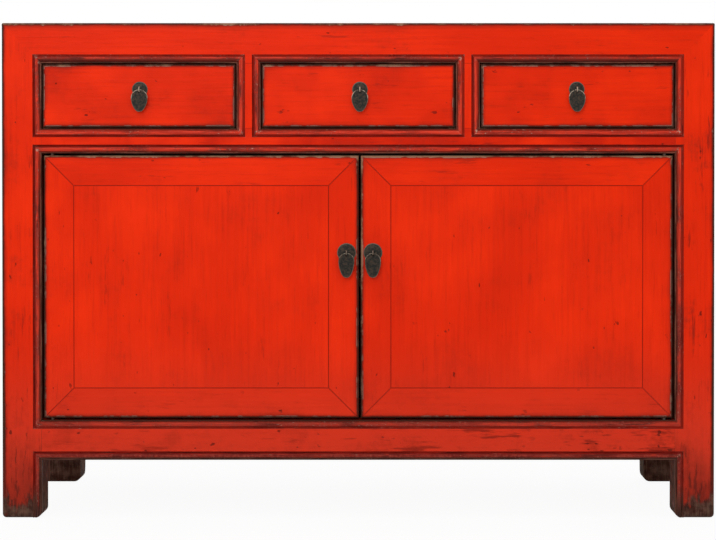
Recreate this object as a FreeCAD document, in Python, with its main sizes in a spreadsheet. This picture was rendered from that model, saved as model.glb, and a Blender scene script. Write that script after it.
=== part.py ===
import FreeCAD
import Part
import Sketcher
import os
import re

# Lacquered east asian sideboard: a flush square-corner frame on four straight feet, three drawers
# in a row above a pair of doors that turn on wooden-cabinet pivot pins, five leaf-shaped drop pulls.
# The front faces -Y, the floor is z = 0 and the plan is centred on the origin with the pulls included.
doc = FreeCAD.newDocument("sideboard")

# Driving sizes in millimetres. Each one is named once and the rest of the piece follows from it.
SIZES = {
    # Cabinet
    "cabinet_width": 1270,
    "cabinet_depth": 400,
    "foot_height": 103,
    "bottom_rail_height": 71,
    "door_opening_height": 476,
    "mid_rail_height": 44,
    "drawer_opening_height": 116.5,
    "top_rail_height": 71.5,
    "leg_width": 70.5,
    "leg_depth": 52,
    "rail_thickness": 30,
    "divider_width": 43,
    "edge_radius": 4,
    "foot_inner_radius": 12,
    "foot_outer_radius": 7,
    # Moulding worked on the frame around every opening: a fillet at the edge, a quirk, a bead and a groove
    "fillet_width": 2,
    "fillet_ease": 0.8,
    "quirk_width": 2.5,
    "quirk_floor": 0.8,
    "quirk_depth": 1.8,
    "bead_width": 6.4,
    "groove_width": 4.6,
    "groove_floor": 1.5,
    "groove_depth": 3,
    # Mortise and tenon joints of the frame
    "tenon_length": 34,
    "tenon_thickness": 12,
    "tenon_setback": 10,
    "tenon_shoulder": 2,
    "side_tenon_length": 16,
    "stub_length": 14,
    "corner_tenon": 16,
    "corner_tenon_inset": 10,
    "corner_tenon_sink": 6,
    "corner_tenon_cover": 20,
    # Panels held in grooves
    "panel_thickness": 10,
    "panel_setback": 8,
    "panel_groove": 8,
    "panel_play": 1,
    "top_panel_face": 8,
    "top_panel_tongue": 6,
    "joint_line": 0.5,
    "batten_width": 42,
    "batten_height": 18,
    "batten_spread": 260,
    # Floor and shelf
    "floor_drop": 10,
    "floor_thickness": 12,
    "notch_clearance": 1,
    "shelf_height": 235,
    "shelf_thickness": 15,
    "shelf_clearance": 2,
    "cleat_width": 18,
    "cleat_height": 24,
    # Drawer bay
    "runner_thickness": 16,
    "runner_width": 26,
    "guide_height": 20,
    "guide_clearance": 1,
    "runner_gap": 0.3,
    "stop_height": 6,
    "stop_width": 40,
    "stop_gap": 0.3,
    # Drawers
    "face_setback": 1.5,
    "drawer_gap": 2,
    "drawer_clearance": 14.5,
    "drawer_front_thickness": 20,
    "drawer_side_thickness": 11,
    "drawer_side_drop": 17.7,
    "drawer_lap": 12,
    "drawer_back_inset": 10,
    "drawer_back_housing": 4,
    "drawer_floor_rise": 8,
    "drawer_floor_thickness": 7,
    "drawer_floor_groove": 5,
    "drawer_floor_play": 0.5,
    # Doors
    "door_gap": 4,
    "meeting_gap": 4,
    "meeting_shift": 2.6,
    "door_thickness": 22,
    "door_frame_width": 53.5,
    "door_panel_face": 8,
    "door_panel_tongue": 6,
    "door_panel_groove": 7,
    "door_tenon_margin": 22,
    "door_batten_height": 42,
    "door_batten_spread": 190,
    "pivot_inset": 14,
    "pivot_depth": 8,
    "pivot_radius": 3.5,
    "pivot_sunk": 26,
    "pivot_top_reach": 12,
    "pivot_low_reach": 8,
    "pivot_end_gap": 0.3,
    "pivot_lift": 2,
    "press_clearance": 0.02,
    "running_clearance": 0.05,
    "door_stop_drop": 10,
    "door_stop_gap": 0.5,
    "door_stop_relief": 46,
    # Pulls
    "plate_rim": 1.2,
    "plate_dome": 2.6,
    "eye_radius": 3.8,
    "wire_radius": 1.2,
    "eye_gap": 0.2,
    "eye_sink": 0.3,
    "shank_radius": 2,
    "shank_clearance": 0.15,
    "prong_length": 13,
    "prong_gap": 0.1,
    "prong_cover": 0.6,
    "drop_thickness": 1.6,
    "drop_hole_radius": 2.2,
    "drop_hang_gap": 0.25,
    "drop_rim": 2,
    "drawer_plate_diameter": 27.8,
    "drawer_drop_width": 29.5,
    "drawer_drop_length": 42.8,
    "drawer_drop_tip_radius": 9,
    "drawer_pull_rise": 11.25,
    "left_pull_shift": 1.85,
    "middle_pull_shift": 3,
    "right_pull_shift": -1.65,
    "door_plate_diameter": 33.5,
    "door_drop_width": 28.5,
    "door_drop_length": 50.4,
    "door_drop_tip_radius": 9,
    "door_pull_inset": 21.5,
    "door_pull_rise": 61,
}

# Places that follow from the sizes.
PLACES = {
    "half_width": "cabinet_width / 2",
    "leg_inner_x": "half_width - leg_width",
    "pull_proud": "plate_dome + eye_gap + 2 * (eye_radius + wire_radius)",
    "pull_reach": "pull_proud - face_setback",
    "front_y": "(pull_reach - cabinet_depth) / 2",
    "back_y": "front_y + cabinet_depth",
    "face_y": "front_y + face_setback",
    "front_leg_y": "front_y + leg_depth",
    "back_leg_y": "back_y - leg_depth",
    "rail_back_y": "front_y + rail_thickness",
    "back_rail_y": "back_y - rail_thickness",
    "door_bottom_z": "foot_height + bottom_rail_height",
    "door_top_z": "door_bottom_z + door_opening_height",
    "drawer_bottom_z": "door_top_z + mid_rail_height",
    "drawer_top_z": "drawer_bottom_z + drawer_opening_height",
    "top_z": "drawer_top_z + top_rail_height",
    "opening_width": "(2 * leg_inner_x - 2 * divider_width) / 3",
    "drawer_pitch": "opening_width + divider_width",
    "divider_x": "drawer_pitch / 2",
    "rail_shoulder": "panel_groove + tenon_shoulder",
    "bead_start": "fillet_width + quirk_width",
    "groove_start": "bead_start + bead_width",
    "stub_half": "divider_width / 2 - groove_start - groove_width",
    "side_face_x": "half_width - panel_setback",
    "side_inner_x": "side_face_x - panel_thickness",
    "back_panel_y": "back_y - panel_setback - panel_thickness",
    "floor_top_z": "door_bottom_z - floor_drop",
    "floor_low_z": "floor_top_z - floor_thickness",
    "tongue_top_z": "top_z - top_panel_face",
    "tongue_low_z": "tongue_top_z - top_panel_tongue",
    "shelf_low_z": "door_bottom_z + shelf_height",
    "drawer_low_z": "drawer_bottom_z + runner_gap",
    "drawer_side_top_z": "drawer_top_z - drawer_side_drop",
    "drawer_floor_z": "drawer_low_z + drawer_floor_rise",
    "drawer_floor_top_z": "drawer_floor_z + drawer_floor_thickness",
    "drawer_front_back_y": "face_y + drawer_front_thickness",
    "drawer_end_y": "back_panel_y - drawer_clearance",
    "drawer_half": "opening_width / 2 - drawer_gap",
    "drawer_inner": "drawer_half - drawer_side_thickness",
    "drawer_pull_z": "(drawer_bottom_z + drawer_top_z) / 2 + drawer_pull_rise",
    "door_outer_x": "leg_inner_x - door_gap",
    "door_low_z": "door_bottom_z + door_gap",
    "door_high_z": "door_top_z - door_gap",
    "door_back_y": "face_y + door_thickness",
    "door_tongue_y": "face_y + door_panel_face",
    "door_panel_back_y": "door_tongue_y + door_panel_tongue",
    "door_tenon_inner": "door_frame_width - door_panel_groove - tenon_shoulder",
    "door_mid_z": "(door_bottom_z + door_top_z) / 2",
    "door_pull_z": "door_mid_z + door_pull_rise",
    "pivot_x": "door_outer_x - pivot_inset",
    "pivot_y": "face_y + pivot_depth",
    "eye_y": "face_y - plate_dome - eye_gap - eye_radius - wire_radius",
    "drop_hole_top": "eye_radius - wire_radius - drop_hang_gap",
    "drop_top": "drop_hole_top - drop_rim",
}

sheet = doc.addObject("Spreadsheet::Sheet", "Sizes")
for row, (name, size) in enumerate(SIZES.items(), 1):
    sheet.set(f"A{row}", name)
    sheet.set(f"B{row}", str(size))
    sheet.setAlias(f"B{row}", name)

REFERENCES = {name: f"Sizes.{name}" for name in SIZES}
REFERENCES.update({name: f"Places.{name}" for name in PLACES})


def formula(text):
    """Write the sheet's name before each size or place in a formula."""
    return re.sub(r"[a-z][a-z_]+", lambda match: REFERENCES.get(match[0], match[0]), text)


places = doc.addObject("Spreadsheet::Sheet", "Places")
for row, (name, text) in enumerate(PLACES.items(), 1):
    places.set(f"A{row}", name)
    places.setAlias(f"B{row}", name)
for row, (name, text) in enumerate(PLACES.items(), 1):
    places.set(f"B{row}", "=" + formula(text))
doc.recompute()


def value(text):
    """Length of a formula in millimetres."""
    return float(places.evalExpression(formula(text)))


def box(name, low, high):
    """Straight board between two corners given as formulas."""
    item = doc.addObject("Part::Box", name)
    for axis, prop, start, end in zip("xyz", ("Length", "Width", "Height"), low, high):
        item.setExpression(prop, formula(f"({end}) - ({start})"))
        item.setExpression(f"Placement.Base.{axis}", formula(start))
    return item


def span(side, near, far):
    """Range along X from near to far on the right (1) or left (-1) of the middle."""
    if side > 0:
        return near, far
    return f"-({far})", f"-({near})"


def fuse(name, parts):
    item = doc.addObject("Part::MultiFuse", name)
    item.Shapes = parts
    return item


def cut(name, base, tools):
    item = doc.addObject("Part::Cut", name)
    item.Base = base
    item.Tool = tools[0] if len(tools) == 1 else fuse(name + "_tools", tools)
    return item


def group(name, parts):
    item = doc.addObject("Part::Compound", name)
    item.Links = parts
    return item


def cylinder(name, axis, radius, start, length):
    """Round bar from a start point along Y or Z."""
    item = doc.addObject("Part::Cylinder", name)
    item.setExpression("Radius", formula(radius))
    item.setExpression("Height", formula(length))
    if axis == "y":
        item.Placement = FreeCAD.Placement(FreeCAD.Vector(), FreeCAD.Rotation(FreeCAD.Vector(1, 0, 0), -90))
    for letter, text in zip("xyz", start):
        item.setExpression(f"Placement.Base.{letter}", formula(text))
    return item


def origin_part(body, role):
    return [item for item in body.Origin.OriginFeatures if item.Role == role][0]


def new_sketch(body, name, plane):
    item = body.newObject("Sketcher::SketchObject", name)
    item.AttachmentSupport = [(origin_part(body, plane), "")]
    item.MapMode = "FlatFace"
    return item


def fix_point(sketch, geometry, end, u, v):
    """Hold a sketch point at two formulas; None leaves that direction free."""
    for kind, text in (("DistanceX", u), ("DistanceY", v)):
        if text is not None:
            held = sketch.addConstraint(Sketcher.Constraint(kind, -1, 1, geometry, end, value(text)))
            sketch.setExpression(f"Constraints[{held}]", formula(text))


def outline(body, name, plane, shapes):
    """Closed straight-sided outlines whose corners are pairs of formulas."""
    item = new_sketch(body, name, plane)
    for corners in shapes:
        points = [FreeCAD.Vector(value(u), value(v), 0) for u, v in corners]
        first = item.GeometryCount
        count = len(points)
        for i in range(count):
            item.addGeometry(Part.LineSegment(points[i], points[(i + 1) % count]))
        for i in range(count):
            following = first + (i + 1) % count
            item.addConstraint(Sketcher.Constraint("Coincident", first + i, 2, following, 1))
        for i, (u, v) in enumerate(corners):
            fix_point(item, first + i, 1, u, v)
    return item


def prism(name, plane, corners, start, length):
    """Body padded from an outline along its plane's world axis, from start over length."""
    body = doc.addObject("PartDesign::Body", name)
    profile = outline(body, name + "_outline", plane, [corners])
    pad = body.newObject("PartDesign::Pad", name + "_pad")
    pad.Profile = profile
    pad.setExpression("Length", formula(length))
    pad.Reversed = plane == "XZ_Plane"
    axis = {"XZ_Plane": "y", "YZ_Plane": "x", "XY_Plane": "z"}[plane]
    body.setExpression(f"Placement.Base.{axis}", formula(start))
    doc.recompute()
    return body


def through(body, name, plane, shapes):
    """Cut outlines right through a body, both ways from their plane."""
    profile = outline(body, name + "_outline", plane, shapes)
    whole = body.Shape.Volume
    item = body.newObject("PartDesign::Pocket", name)
    item.Profile = profile
    item.Type = "ThroughAll"
    item.SideType = "Symmetric"
    doc.recompute()
    if not body.Shape.Volume < whole:
        raise RuntimeError(name + " removed nothing")


def round_edges(body, name, chosen, radius):
    """Round the edges of a body that the chosen test picks."""
    base = body.Tip
    picked = [f"Edge{i}" for i, edge in enumerate(base.Shape.Edges, 1) if chosen(edge)]
    item = body.newObject("PartDesign::Fillet", name)
    item.Base = (base, picked)
    item.setExpression("Radius", formula(radius))
    doc.recompute()


def runs_along(edge, axis):
    """True for a straight edge along axis 0, 1 or 2."""
    ends = [vertex.Point for vertex in edge.Vertexes]
    if len(ends) != 2:
        return False
    across = [i for i in range(3) if i != axis]
    return all(abs(ends[0][i] - ends[1][i]) < 1e-4 for i in across)


# Sides of the middle, places in the drawer row, and the finished pieces by name.
HANDS = {"left": -1, "right": 1}
DRAWERS = {"left": -1, "middle": 0, "right": 1}
PIECES = {}


def finished(name, item):
    """Give a finished piece its name."""
    item.Label = name
    PIECES[name] = item
    return item


# Bead rings. Around each opening a groove and a narrow quirk set off a bead, and the fillet left at the
# opening's edge is eased. The tool for one opening cuts all the members that meet there, so corners mitre.
def frustum(name, place, ranges, face, deep, depth):
    """Block that starts as the opening grown by face and ends grown by deep, depth into the wood."""
    (u_low, u_high), (z_low, z_high) = ranges
    item = doc.addObject("Part::Wedge", name)
    item.Ymin = 0
    item.setExpression("Ymax", formula(depth))
    for prefix, grow in (("", face), ("2", deep)):
        item.setExpression(f"X{prefix}min", formula(f"{u_low} - ({grow})"))
        item.setExpression(f"X{prefix}max", formula(f"{u_high} + ({grow})"))
        item.setExpression(f"Z{prefix}min", formula(f"{z_low} - ({grow})"))
        item.setExpression(f"Z{prefix}max", formula(f"{z_high} + ({grow})"))
    turn = {"front": 0, "left": -90, "right": 90}[place]
    item.Placement = FreeCAD.Placement(FreeCAD.Vector(), FreeCAD.Rotation(FreeCAD.Vector(0, 0, 1), turn))
    if place == "front":
        item.setExpression("Placement.Base.y", formula("front_y"))
    else:
        item.setExpression("Placement.Base.x", formula(f"{HANDS[place]} * half_width"))
    return item


def channel(name, place, ranges, start, kind):
    """Channel with sloping sides that runs around an opening, its near edge at start from the opening."""
    width, floor, depth = f"{kind}_width", f"{kind}_floor", f"{kind}_depth"
    whole = frustum(name + "_outer", place, ranges,
                    f"{start} + {width}", f"{start} + ({width} + {floor}) / 2", depth)
    core = frustum(name + "_inner", place, ranges, start, f"{start} + ({width} - {floor}) / 2", depth)
    return cut(name, whole, [core])


def bead_ring(name, place, ranges):
    return group(name, [
        channel(name + "_groove", place, ranges, "groove_start", "groove"),
        channel(name + "_quirk", place, ranges, "fillet_width", "quirk"),
        frustum(name + "_ease", place, ranges, "fillet_ease", "0", "fillet_ease")])


rings = {}
for drawer, step in DRAWERS.items():
    reach_x = (f"{step} * drawer_pitch - opening_width / 2", f"{step} * drawer_pitch + opening_width / 2")
    rings[drawer] = bead_ring(f"ring_{drawer}", "front", (reach_x, ("drawer_bottom_z", "drawer_top_z")))
inside_x = ("-leg_inner_x", "leg_inner_x")
rings["doors"] = bead_ring("ring_doors", "front", (inside_x, ("door_bottom_z", "door_top_z")))
rings["foot"] = bead_ring("ring_foot", "front", (inside_x, ("-foot_height", "foot_height")))
for hand in ("left", "right"):
    reach_y = ("front_leg_y", "back_leg_y") if hand == "right" else ("-back_leg_y", "-front_leg_y")
    rings["side_" + hand] = bead_ring("ring_side_" + hand, hand, (reach_y, ("door_bottom_z", "drawer_top_z")))
    rings["step_" + hand] = bead_ring("ring_step_" + hand, hand, (reach_y, ("-foot_height", "foot_height")))

# Outer envelope of the cabinet with its standing and top edges rounded; trims the legs and top frame.
envelope = prism("envelope", "XY_Plane", [
    ("-half_width", "front_y"), ("half_width", "front_y"),
    ("half_width", "back_y"), ("-half_width", "back_y")], "0", "top_z")
envelope_top = value("top_z")
round_edges(envelope, "envelope_round", lambda edge: runs_along(edge, 2) or all(
    abs(vertex.Point.z - envelope_top) < 1e-4 for vertex in edge.Vertexes), "edge_radius")


def trimmed(name, item):
    result = doc.addObject("Part::Common", name)
    result.Base = item
    result.Tool = envelope
    return result


# Tenons, as boxes used twice: joined to one member and cut from the other.
corner_tenons = {}
for hand, side in HANDS.items():
    across = span(side, "leg_inner_x + corner_tenon_inset",
                  "leg_inner_x + corner_tenon_inset + corner_tenon")
    rise = ("drawer_top_z + corner_tenon_sink", "top_z - corner_tenon_cover")
    corner_tenons["front", hand] = box(
        f"corner_tenon_front_{hand}", (across[0], "front_leg_y - corner_tenon_inset - corner_tenon", rise[0]),
        (across[1], "front_leg_y - corner_tenon_inset", rise[1]))
    corner_tenons["back", hand] = box(
        f"corner_tenon_back_{hand}", (across[0], "back_leg_y + corner_tenon_inset", rise[0]),
        (across[1], "back_leg_y + corner_tenon_inset + corner_tenon", rise[1]))

RAIL_HEIGHTS = {"mid": ("door_top_z", "drawer_bottom_z"), "bottom": ("foot_height", "door_bottom_z")}
TENON_DEPTHS = {
    "front": ("front_y + tenon_setback", "front_y + tenon_setback + tenon_thickness"),
    "back": ("back_y - tenon_setback - tenon_thickness", "back_y - tenon_setback"),
}
rail_tenons = {}
for level, (low, high) in RAIL_HEIGHTS.items():
    for fore, (near, far) in TENON_DEPTHS.items():
        for hand, side in HANDS.items():
            across = span(side, "leg_inner_x", "leg_inner_x + tenon_length")
            rail_tenons[level, fore, hand] = box(
                f"tenon_{level}_{fore}_{hand}", (across[0], near, f"{low} + rail_shoulder"),
                (across[1], far, f"{high} - rail_shoulder"))
side_tenons = {}
for hand, side in HANDS.items():
    across = span(side, "half_width - tenon_setback - tenon_thickness", "half_width - tenon_setback")
    rise = ("foot_height + rail_shoulder", "door_bottom_z - rail_shoulder")
    side_tenons["front", hand] = box(
        f"side_tenon_front_{hand}", (across[0], "front_leg_y - side_tenon_length", rise[0]),
        (across[1], "front_leg_y", rise[1]))
    side_tenons["back", hand] = box(
        f"side_tenon_back_{hand}", (across[0], "back_leg_y", rise[0]),
        (across[1], "back_leg_y + side_tenon_length", rise[1]))
stubs = {}
for hand, side in HANDS.items():
    for end, (low, high) in {"low": ("drawer_bottom_z - stub_length", "drawer_bottom_z"),
                             "high": ("drawer_top_z", "drawer_top_z + stub_length")}.items():
        near, far = TENON_DEPTHS["front"]
        stubs[end, hand] = box(f"stub_{end}_{hand}", (f"{side} * divider_x - stub_half", near, low),
                               (f"{side} * divider_x + stub_half", far, high))

# Panels and the seats that their edges fill, with a little play left at the bottom of each groove.
side_seats = {}
for hand, side in HANDS.items():
    across = span(side, "side_inner_x", "side_face_x")
    side_seats[hand] = box(
        f"side_seat_{hand}", (across[0], "front_leg_y - panel_groove", "door_bottom_z - panel_groove"),
        (across[1], "back_leg_y + panel_groove", "drawer_top_z + panel_groove"))
    finished(f"side_panel_{hand}", box(
        f"side_panel_{hand}",
        (across[0], "front_leg_y - panel_groove + panel_play", "door_bottom_z - panel_groove + panel_play"),
        (across[1], "back_leg_y + panel_groove - panel_play", "drawer_top_z + panel_groove - panel_play")))
back_seats = {}
for level, (low, high) in {"lower": ("door_bottom_z", "door_top_z"),
                           "upper": ("drawer_bottom_z", "drawer_top_z")}.items():
    back_seats[level] = box(
        f"back_seat_{level}", ("-leg_inner_x - panel_groove", "back_panel_y", f"{low} - panel_groove"),
        ("leg_inner_x + panel_groove", "back_y - panel_setback", f"{high} + panel_groove"))
    finished(f"back_panel_{level}", box(
        f"back_panel_{level}",
        ("-leg_inner_x - panel_groove + panel_play", "back_panel_y", f"{low} - panel_groove + panel_play"),
        ("leg_inner_x + panel_groove - panel_play", "back_y - panel_setback",
         f"{high} + panel_groove - panel_play")))
top_seat = box("top_seat", ("-leg_inner_x - panel_groove", "front_leg_y - panel_groove", "tongue_low_z"),
               ("leg_inner_x + panel_groove", "back_leg_y + panel_groove", "tongue_top_z"))
top_face = box("top_face", ("-leg_inner_x + joint_line", "front_leg_y + joint_line", "tongue_top_z"),
               ("leg_inner_x - joint_line", "back_leg_y - joint_line", "top_z"))
top_tongue = box(
    "top_tongue",
    ("-leg_inner_x - panel_groove + panel_play", "front_leg_y - panel_groove + panel_play", "tongue_low_z"),
    ("leg_inner_x + panel_groove - panel_play", "back_leg_y + panel_groove - panel_play", "tongue_top_z"))
finished("top_panel", fuse("top_panel", [top_face, top_tongue]))

# Cabinet floor, let into the four bottom rails and notched around the legs.
floor_seat = box(
    "floor_seat",
    ("-half_width + rail_thickness - panel_groove", "rail_back_y - panel_groove", "floor_low_z"),
    ("half_width - rail_thickness + panel_groove", "back_rail_y + panel_groove", "floor_top_z"))
floor_stock = box(
    "floor_stock",
    ("-half_width + rail_thickness - panel_groove + panel_play",
     "rail_back_y - panel_groove + panel_play", "floor_low_z"),
    ("half_width - rail_thickness + panel_groove - panel_play",
     "back_rail_y + panel_groove - panel_play", "floor_top_z"))
leg_notches = {}
for hand, side in HANDS.items():
    across = span(side, "leg_inner_x - notch_clearance", "half_width")
    leg_notches["front", hand] = box(f"notch_front_{hand}", (across[0], "front_y", "0"),
                                     (across[1], "front_leg_y + notch_clearance", "top_z"))
    leg_notches["back", hand] = box(f"notch_back_{hand}", (across[0], "back_leg_y - notch_clearance", "0"),
                                    (across[1], "back_y", "top_z"))
finished("floor_board", cut("floor_board", floor_stock, list(leg_notches.values())))

# Legs: straight square posts that run to the top corners, where they mitre with two frame members.
for fore, start in (("front", "front_y"), ("back", "back_leg_y")):
    for hand, side in HANDS.items():
        name = f"leg_{fore}_{hand}"
        post = prism(name + "_post", "XZ_Plane", [
            (f"{side} * half_width", "0"), (f"{side} * half_width", "top_z"),
            (f"{side} * leg_inner_x", "drawer_top_z"), (f"{side} * leg_inner_x", "0")], start, "leg_depth")
        shown, hidden = ("0", "leg_depth") if fore == "front" else ("leg_depth", "0")
        through(post, name + "_mitre", "YZ_Plane",
                [[(shown, "top_z"), (hidden, "top_z"), (hidden, "drawer_top_z")]])
        for corner, place in (("inner", "leg_inner_x"), ("outer", "half_width")):
            corner_x = side * value(place)
            round_edges(post, f"{name}_{corner}_foot", lambda edge: runs_along(edge, 1) and all(
                abs(v.Point.z) < 1e-4 and abs(v.Point.x - corner_x) < 1e-4 for v in edge.Vertexes),
                f"foot_{corner}_radius")
        tools = [side_seats[hand], side_tenons[fore, hand], rail_tenons["mid", fore, hand],
                 rail_tenons["bottom", fore, hand], rings["side_" + hand], rings["step_" + hand]]
        if fore == "front":
            tools += [rings[hand], rings["doors"], rings["foot"]]
        else:
            tools += [back_seats["lower"], back_seats["upper"]]
        worked = cut(name + "_worked", trimmed(name + "_trimmed", post), tools)
        finished(name, fuse(name, [worked, corner_tenons[fore, hand]]))

# Top frame: four members that mitre with each other and with the legs at the corners.
for fore, start in (("front", "front_y"), ("back", "back_leg_y")):
    name = f"top_rail_{fore}"
    member = prism(name + "_stock", "XZ_Plane", [
        ("-half_width", "top_z"), ("half_width", "top_z"),
        ("leg_inner_x", "drawer_top_z"), ("-leg_inner_x", "drawer_top_z")], start, "leg_depth")
    shown, hidden = ("0", "leg_depth") if fore == "front" else ("leg_depth", "0")
    through(member, name + "_mitre", "XY_Plane", [
        [(f"{side} * half_width", shown), (f"{side} * half_width", hidden), (f"{side} * leg_inner_x", hidden)]
        for side in (-1, 1)])
    tools = [top_seat, corner_tenons[fore, "left"], corner_tenons[fore, "right"]]
    if fore == "front":
        tools += [stubs["high", "left"], stubs["high", "right"]] + [rings[drawer] for drawer in DRAWERS]
    else:
        tools += [back_seats["upper"], side_seats["left"], side_seats["right"]]
    finished(name, cut(name, trimmed(name + "_trimmed", member), tools))
for hand, side in HANDS.items():
    name = f"top_rail_{hand}"
    start = "-half_width" if side < 0 else "leg_inner_x"
    member = prism(name + "_stock", "YZ_Plane", [
        ("front_y", "top_z"), ("back_y", "top_z"),
        ("back_leg_y", "drawer_top_z"), ("front_leg_y", "drawer_top_z")], start, "leg_width")
    shown, hidden = ("0", "leg_width") if side < 0 else ("leg_width", "0")
    through(member, name + "_mitre", "XY_Plane", [
        [(shown, "front_y"), (hidden, "front_y"), (hidden, "front_leg_y")],
        [(shown, "back_y"), (hidden, "back_y"), (hidden, "back_leg_y")]])
    tools = [top_seat, side_seats[hand], corner_tenons["front", hand], corner_tenons["back", hand],
             rings["side_" + hand]]
    finished(name, cut(name, trimmed(name + "_trimmed", member), tools))

# Pivot holes for the doors, bored up into the middle rail and down into the bottom rail.
pivot_holes = {"mid": [], "bottom": []}
for hand, side in HANDS.items():
    bore = "pivot_radius + running_clearance"
    pivot_holes["mid"].append(cylinder(
        f"pivot_bore_high_{hand}", "z", bore, (f"{side} * pivot_x", "pivot_y", "door_high_z"),
        "door_gap + pivot_top_reach + pivot_lift"))
    pivot_holes["bottom"].append(cylinder(
        f"pivot_bore_low_{hand}", "z", bore,
        (f"{side} * pivot_x", "pivot_y", "door_bottom_z - pivot_low_reach - pivot_end_gap"),
        "door_gap + pivot_low_reach + pivot_end_gap"))

# Front rails. The middle rail carries a lip behind the doors that they close against.
for level, (low, high) in RAIL_HEIGHTS.items():
    name = f"{level}_rail_front"
    parts = [box(name + "_stock", ("-leg_inner_x", "front_y", low), ("leg_inner_x", "rail_back_y", high)),
             rail_tenons[level, "front", "left"], rail_tenons[level, "front", "right"]]
    tools = pivot_holes[level] + [rings["doors"]]
    if level == "mid":
        parts.append(box(
            "door_stop", ("-leg_inner_x + door_stop_relief", "door_back_y + door_stop_gap",
                          "door_top_z - door_stop_drop"),
            ("leg_inner_x - door_stop_relief", "rail_back_y", "door_top_z")))
        tools += [stubs["low", "left"], stubs["low", "right"]] + [rings[drawer] for drawer in DRAWERS]
    else:
        tools += [rings["foot"], floor_seat]
    finished(name, cut(name, fuse(name + "_joined", parts), tools))

# Back rails, with grooves for the two back panels.
for level, (low, high) in RAIL_HEIGHTS.items():
    name = f"{level}_rail_back"
    parts = [box(name + "_stock", ("-leg_inner_x", "back_rail_y", low), ("leg_inner_x", "back_y", high)),
             rail_tenons[level, "back", "left"], rail_tenons[level, "back", "right"]]
    tools = [back_seats["lower"], back_seats["upper"] if level == "mid" else floor_seat]
    finished(name, cut(name, fuse(name + "_joined", parts), tools))

# Bottom rails of the two ends.
for hand, side in HANDS.items():
    name = f"bottom_rail_{hand}"
    across = span(side, "half_width - rail_thickness", "half_width")
    parts = [box(name + "_stock", (across[0], "front_leg_y", "foot_height"),
                 (across[1], "back_leg_y", "door_bottom_z")),
             side_tenons["front", hand], side_tenons["back", hand]]
    tools = [side_seats[hand], floor_seat, rings["side_" + hand], rings["step_" + hand]]
    finished(name, cut(name, fuse(name + "_joined", parts), tools))

# Uprights between the drawers, stub-tenoned into the rails above and below.
for hand, side in HANDS.items():
    name = f"divider_{hand}"
    stock = box(name + "_stock", (f"{side} * divider_x - divider_width / 2", "front_y", "drawer_bottom_z"),
                (f"{side} * divider_x + divider_width / 2", "rail_back_y", "drawer_top_z"))
    parts = [stock, stubs["low", hand], stubs["high", hand]]
    finished(name, cut(name, fuse(name + "_joined", parts), [rings[hand], rings["middle"]]))

# Cross battens under the top panel and under the floor.
battens = []
for side in (-1, 1):
    low_x = f"{side} * batten_spread - batten_width / 2"
    high_x = f"{side} * batten_spread + batten_width / 2"
    battens.append(box(f"top_batten_{len(battens)}", (low_x, "front_leg_y", "tongue_low_z - batten_height"),
                       (high_x, "back_leg_y", "tongue_low_z")))
    battens.append(box(f"floor_batten_{len(battens)}", (low_x, "rail_back_y", "floor_low_z - batten_height"),
                       (high_x, "back_rail_y", "floor_low_z")))
finished("panel_battens", group("panel_battens", battens))

# Shelf on two cleats, notched around the back legs.
shelf_stock = box(
    "shelf_stock", ("-side_inner_x + shelf_clearance", "front_leg_y + shelf_clearance", "shelf_low_z"),
    ("side_inner_x - shelf_clearance", "back_panel_y - shelf_clearance", "shelf_low_z + shelf_thickness"))
back_notches = [leg_notches["back", hand] for hand in HANDS]
finished("shelf_board", cut("shelf_board", shelf_stock, back_notches))
cleats = []
for hand, side in HANDS.items():
    across = span(side, "side_inner_x - cleat_width", "side_inner_x")
    cleats.append(box(f"cleat_{hand}", (across[0], "front_leg_y", "shelf_low_z - cleat_height"),
                      (across[1], "back_leg_y", "shelf_low_z")))
finished("shelf_cleats", group("shelf_cleats", cleats))

# Drawer runners: plain ones beside the legs, and shared ones behind the uprights with a guide left proud.
runners = []
for hand, side in HANDS.items():
    across = span(side, "leg_inner_x - runner_width", "leg_inner_x")
    runners.append(box(f"runner_end_{hand}", (across[0], "rail_back_y", "drawer_bottom_z - runner_thickness"),
                       (across[1], "back_rail_y", "drawer_bottom_z")))
    half = "(divider_width / 2 + runner_width)"
    bed = box(f"runner_bed_{hand}",
              (f"{side} * divider_x - {half}", "rail_back_y", "drawer_bottom_z - runner_thickness"),
              (f"{side} * divider_x + {half}", "back_rail_y", "drawer_bottom_z"))
    half = "(divider_width / 2 + drawer_gap - guide_clearance)"
    guide = box(f"guide_{hand}", (f"{side} * divider_x - {half}", "rail_back_y", "drawer_bottom_z"),
                (f"{side} * divider_x + {half}", "back_rail_y", "drawer_bottom_z + guide_height"))
    runners.append(fuse(f"runner_mid_{hand}", [bed, guide]))
finished("drawer_runners", group("drawer_runners", runners))

# Small stop blocks on the middle rail that the drawer fronts close against.
stops = []
for drawer, step in DRAWERS.items():
    low_x = f"{step} * drawer_pitch - stop_width / 2"
    high_x = f"{step} * drawer_pitch + stop_width / 2"
    stops.append(box(f"stop_{drawer}", (low_x, "drawer_front_back_y + stop_gap", "drawer_bottom_z"),
                     (high_x, "rail_back_y", "drawer_bottom_z + stop_height")))
finished("drawer_stops", group("drawer_stops", stops))


# Pulls: a domed round plate, a split pin whose eye stands proud, and a leaf-shaped drop hung in the eye.
def place_at(item, spot):
    for letter, text in zip("xyz", spot):
        item.setExpression(f"Placement.Base.{letter}", formula(text))


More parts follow.
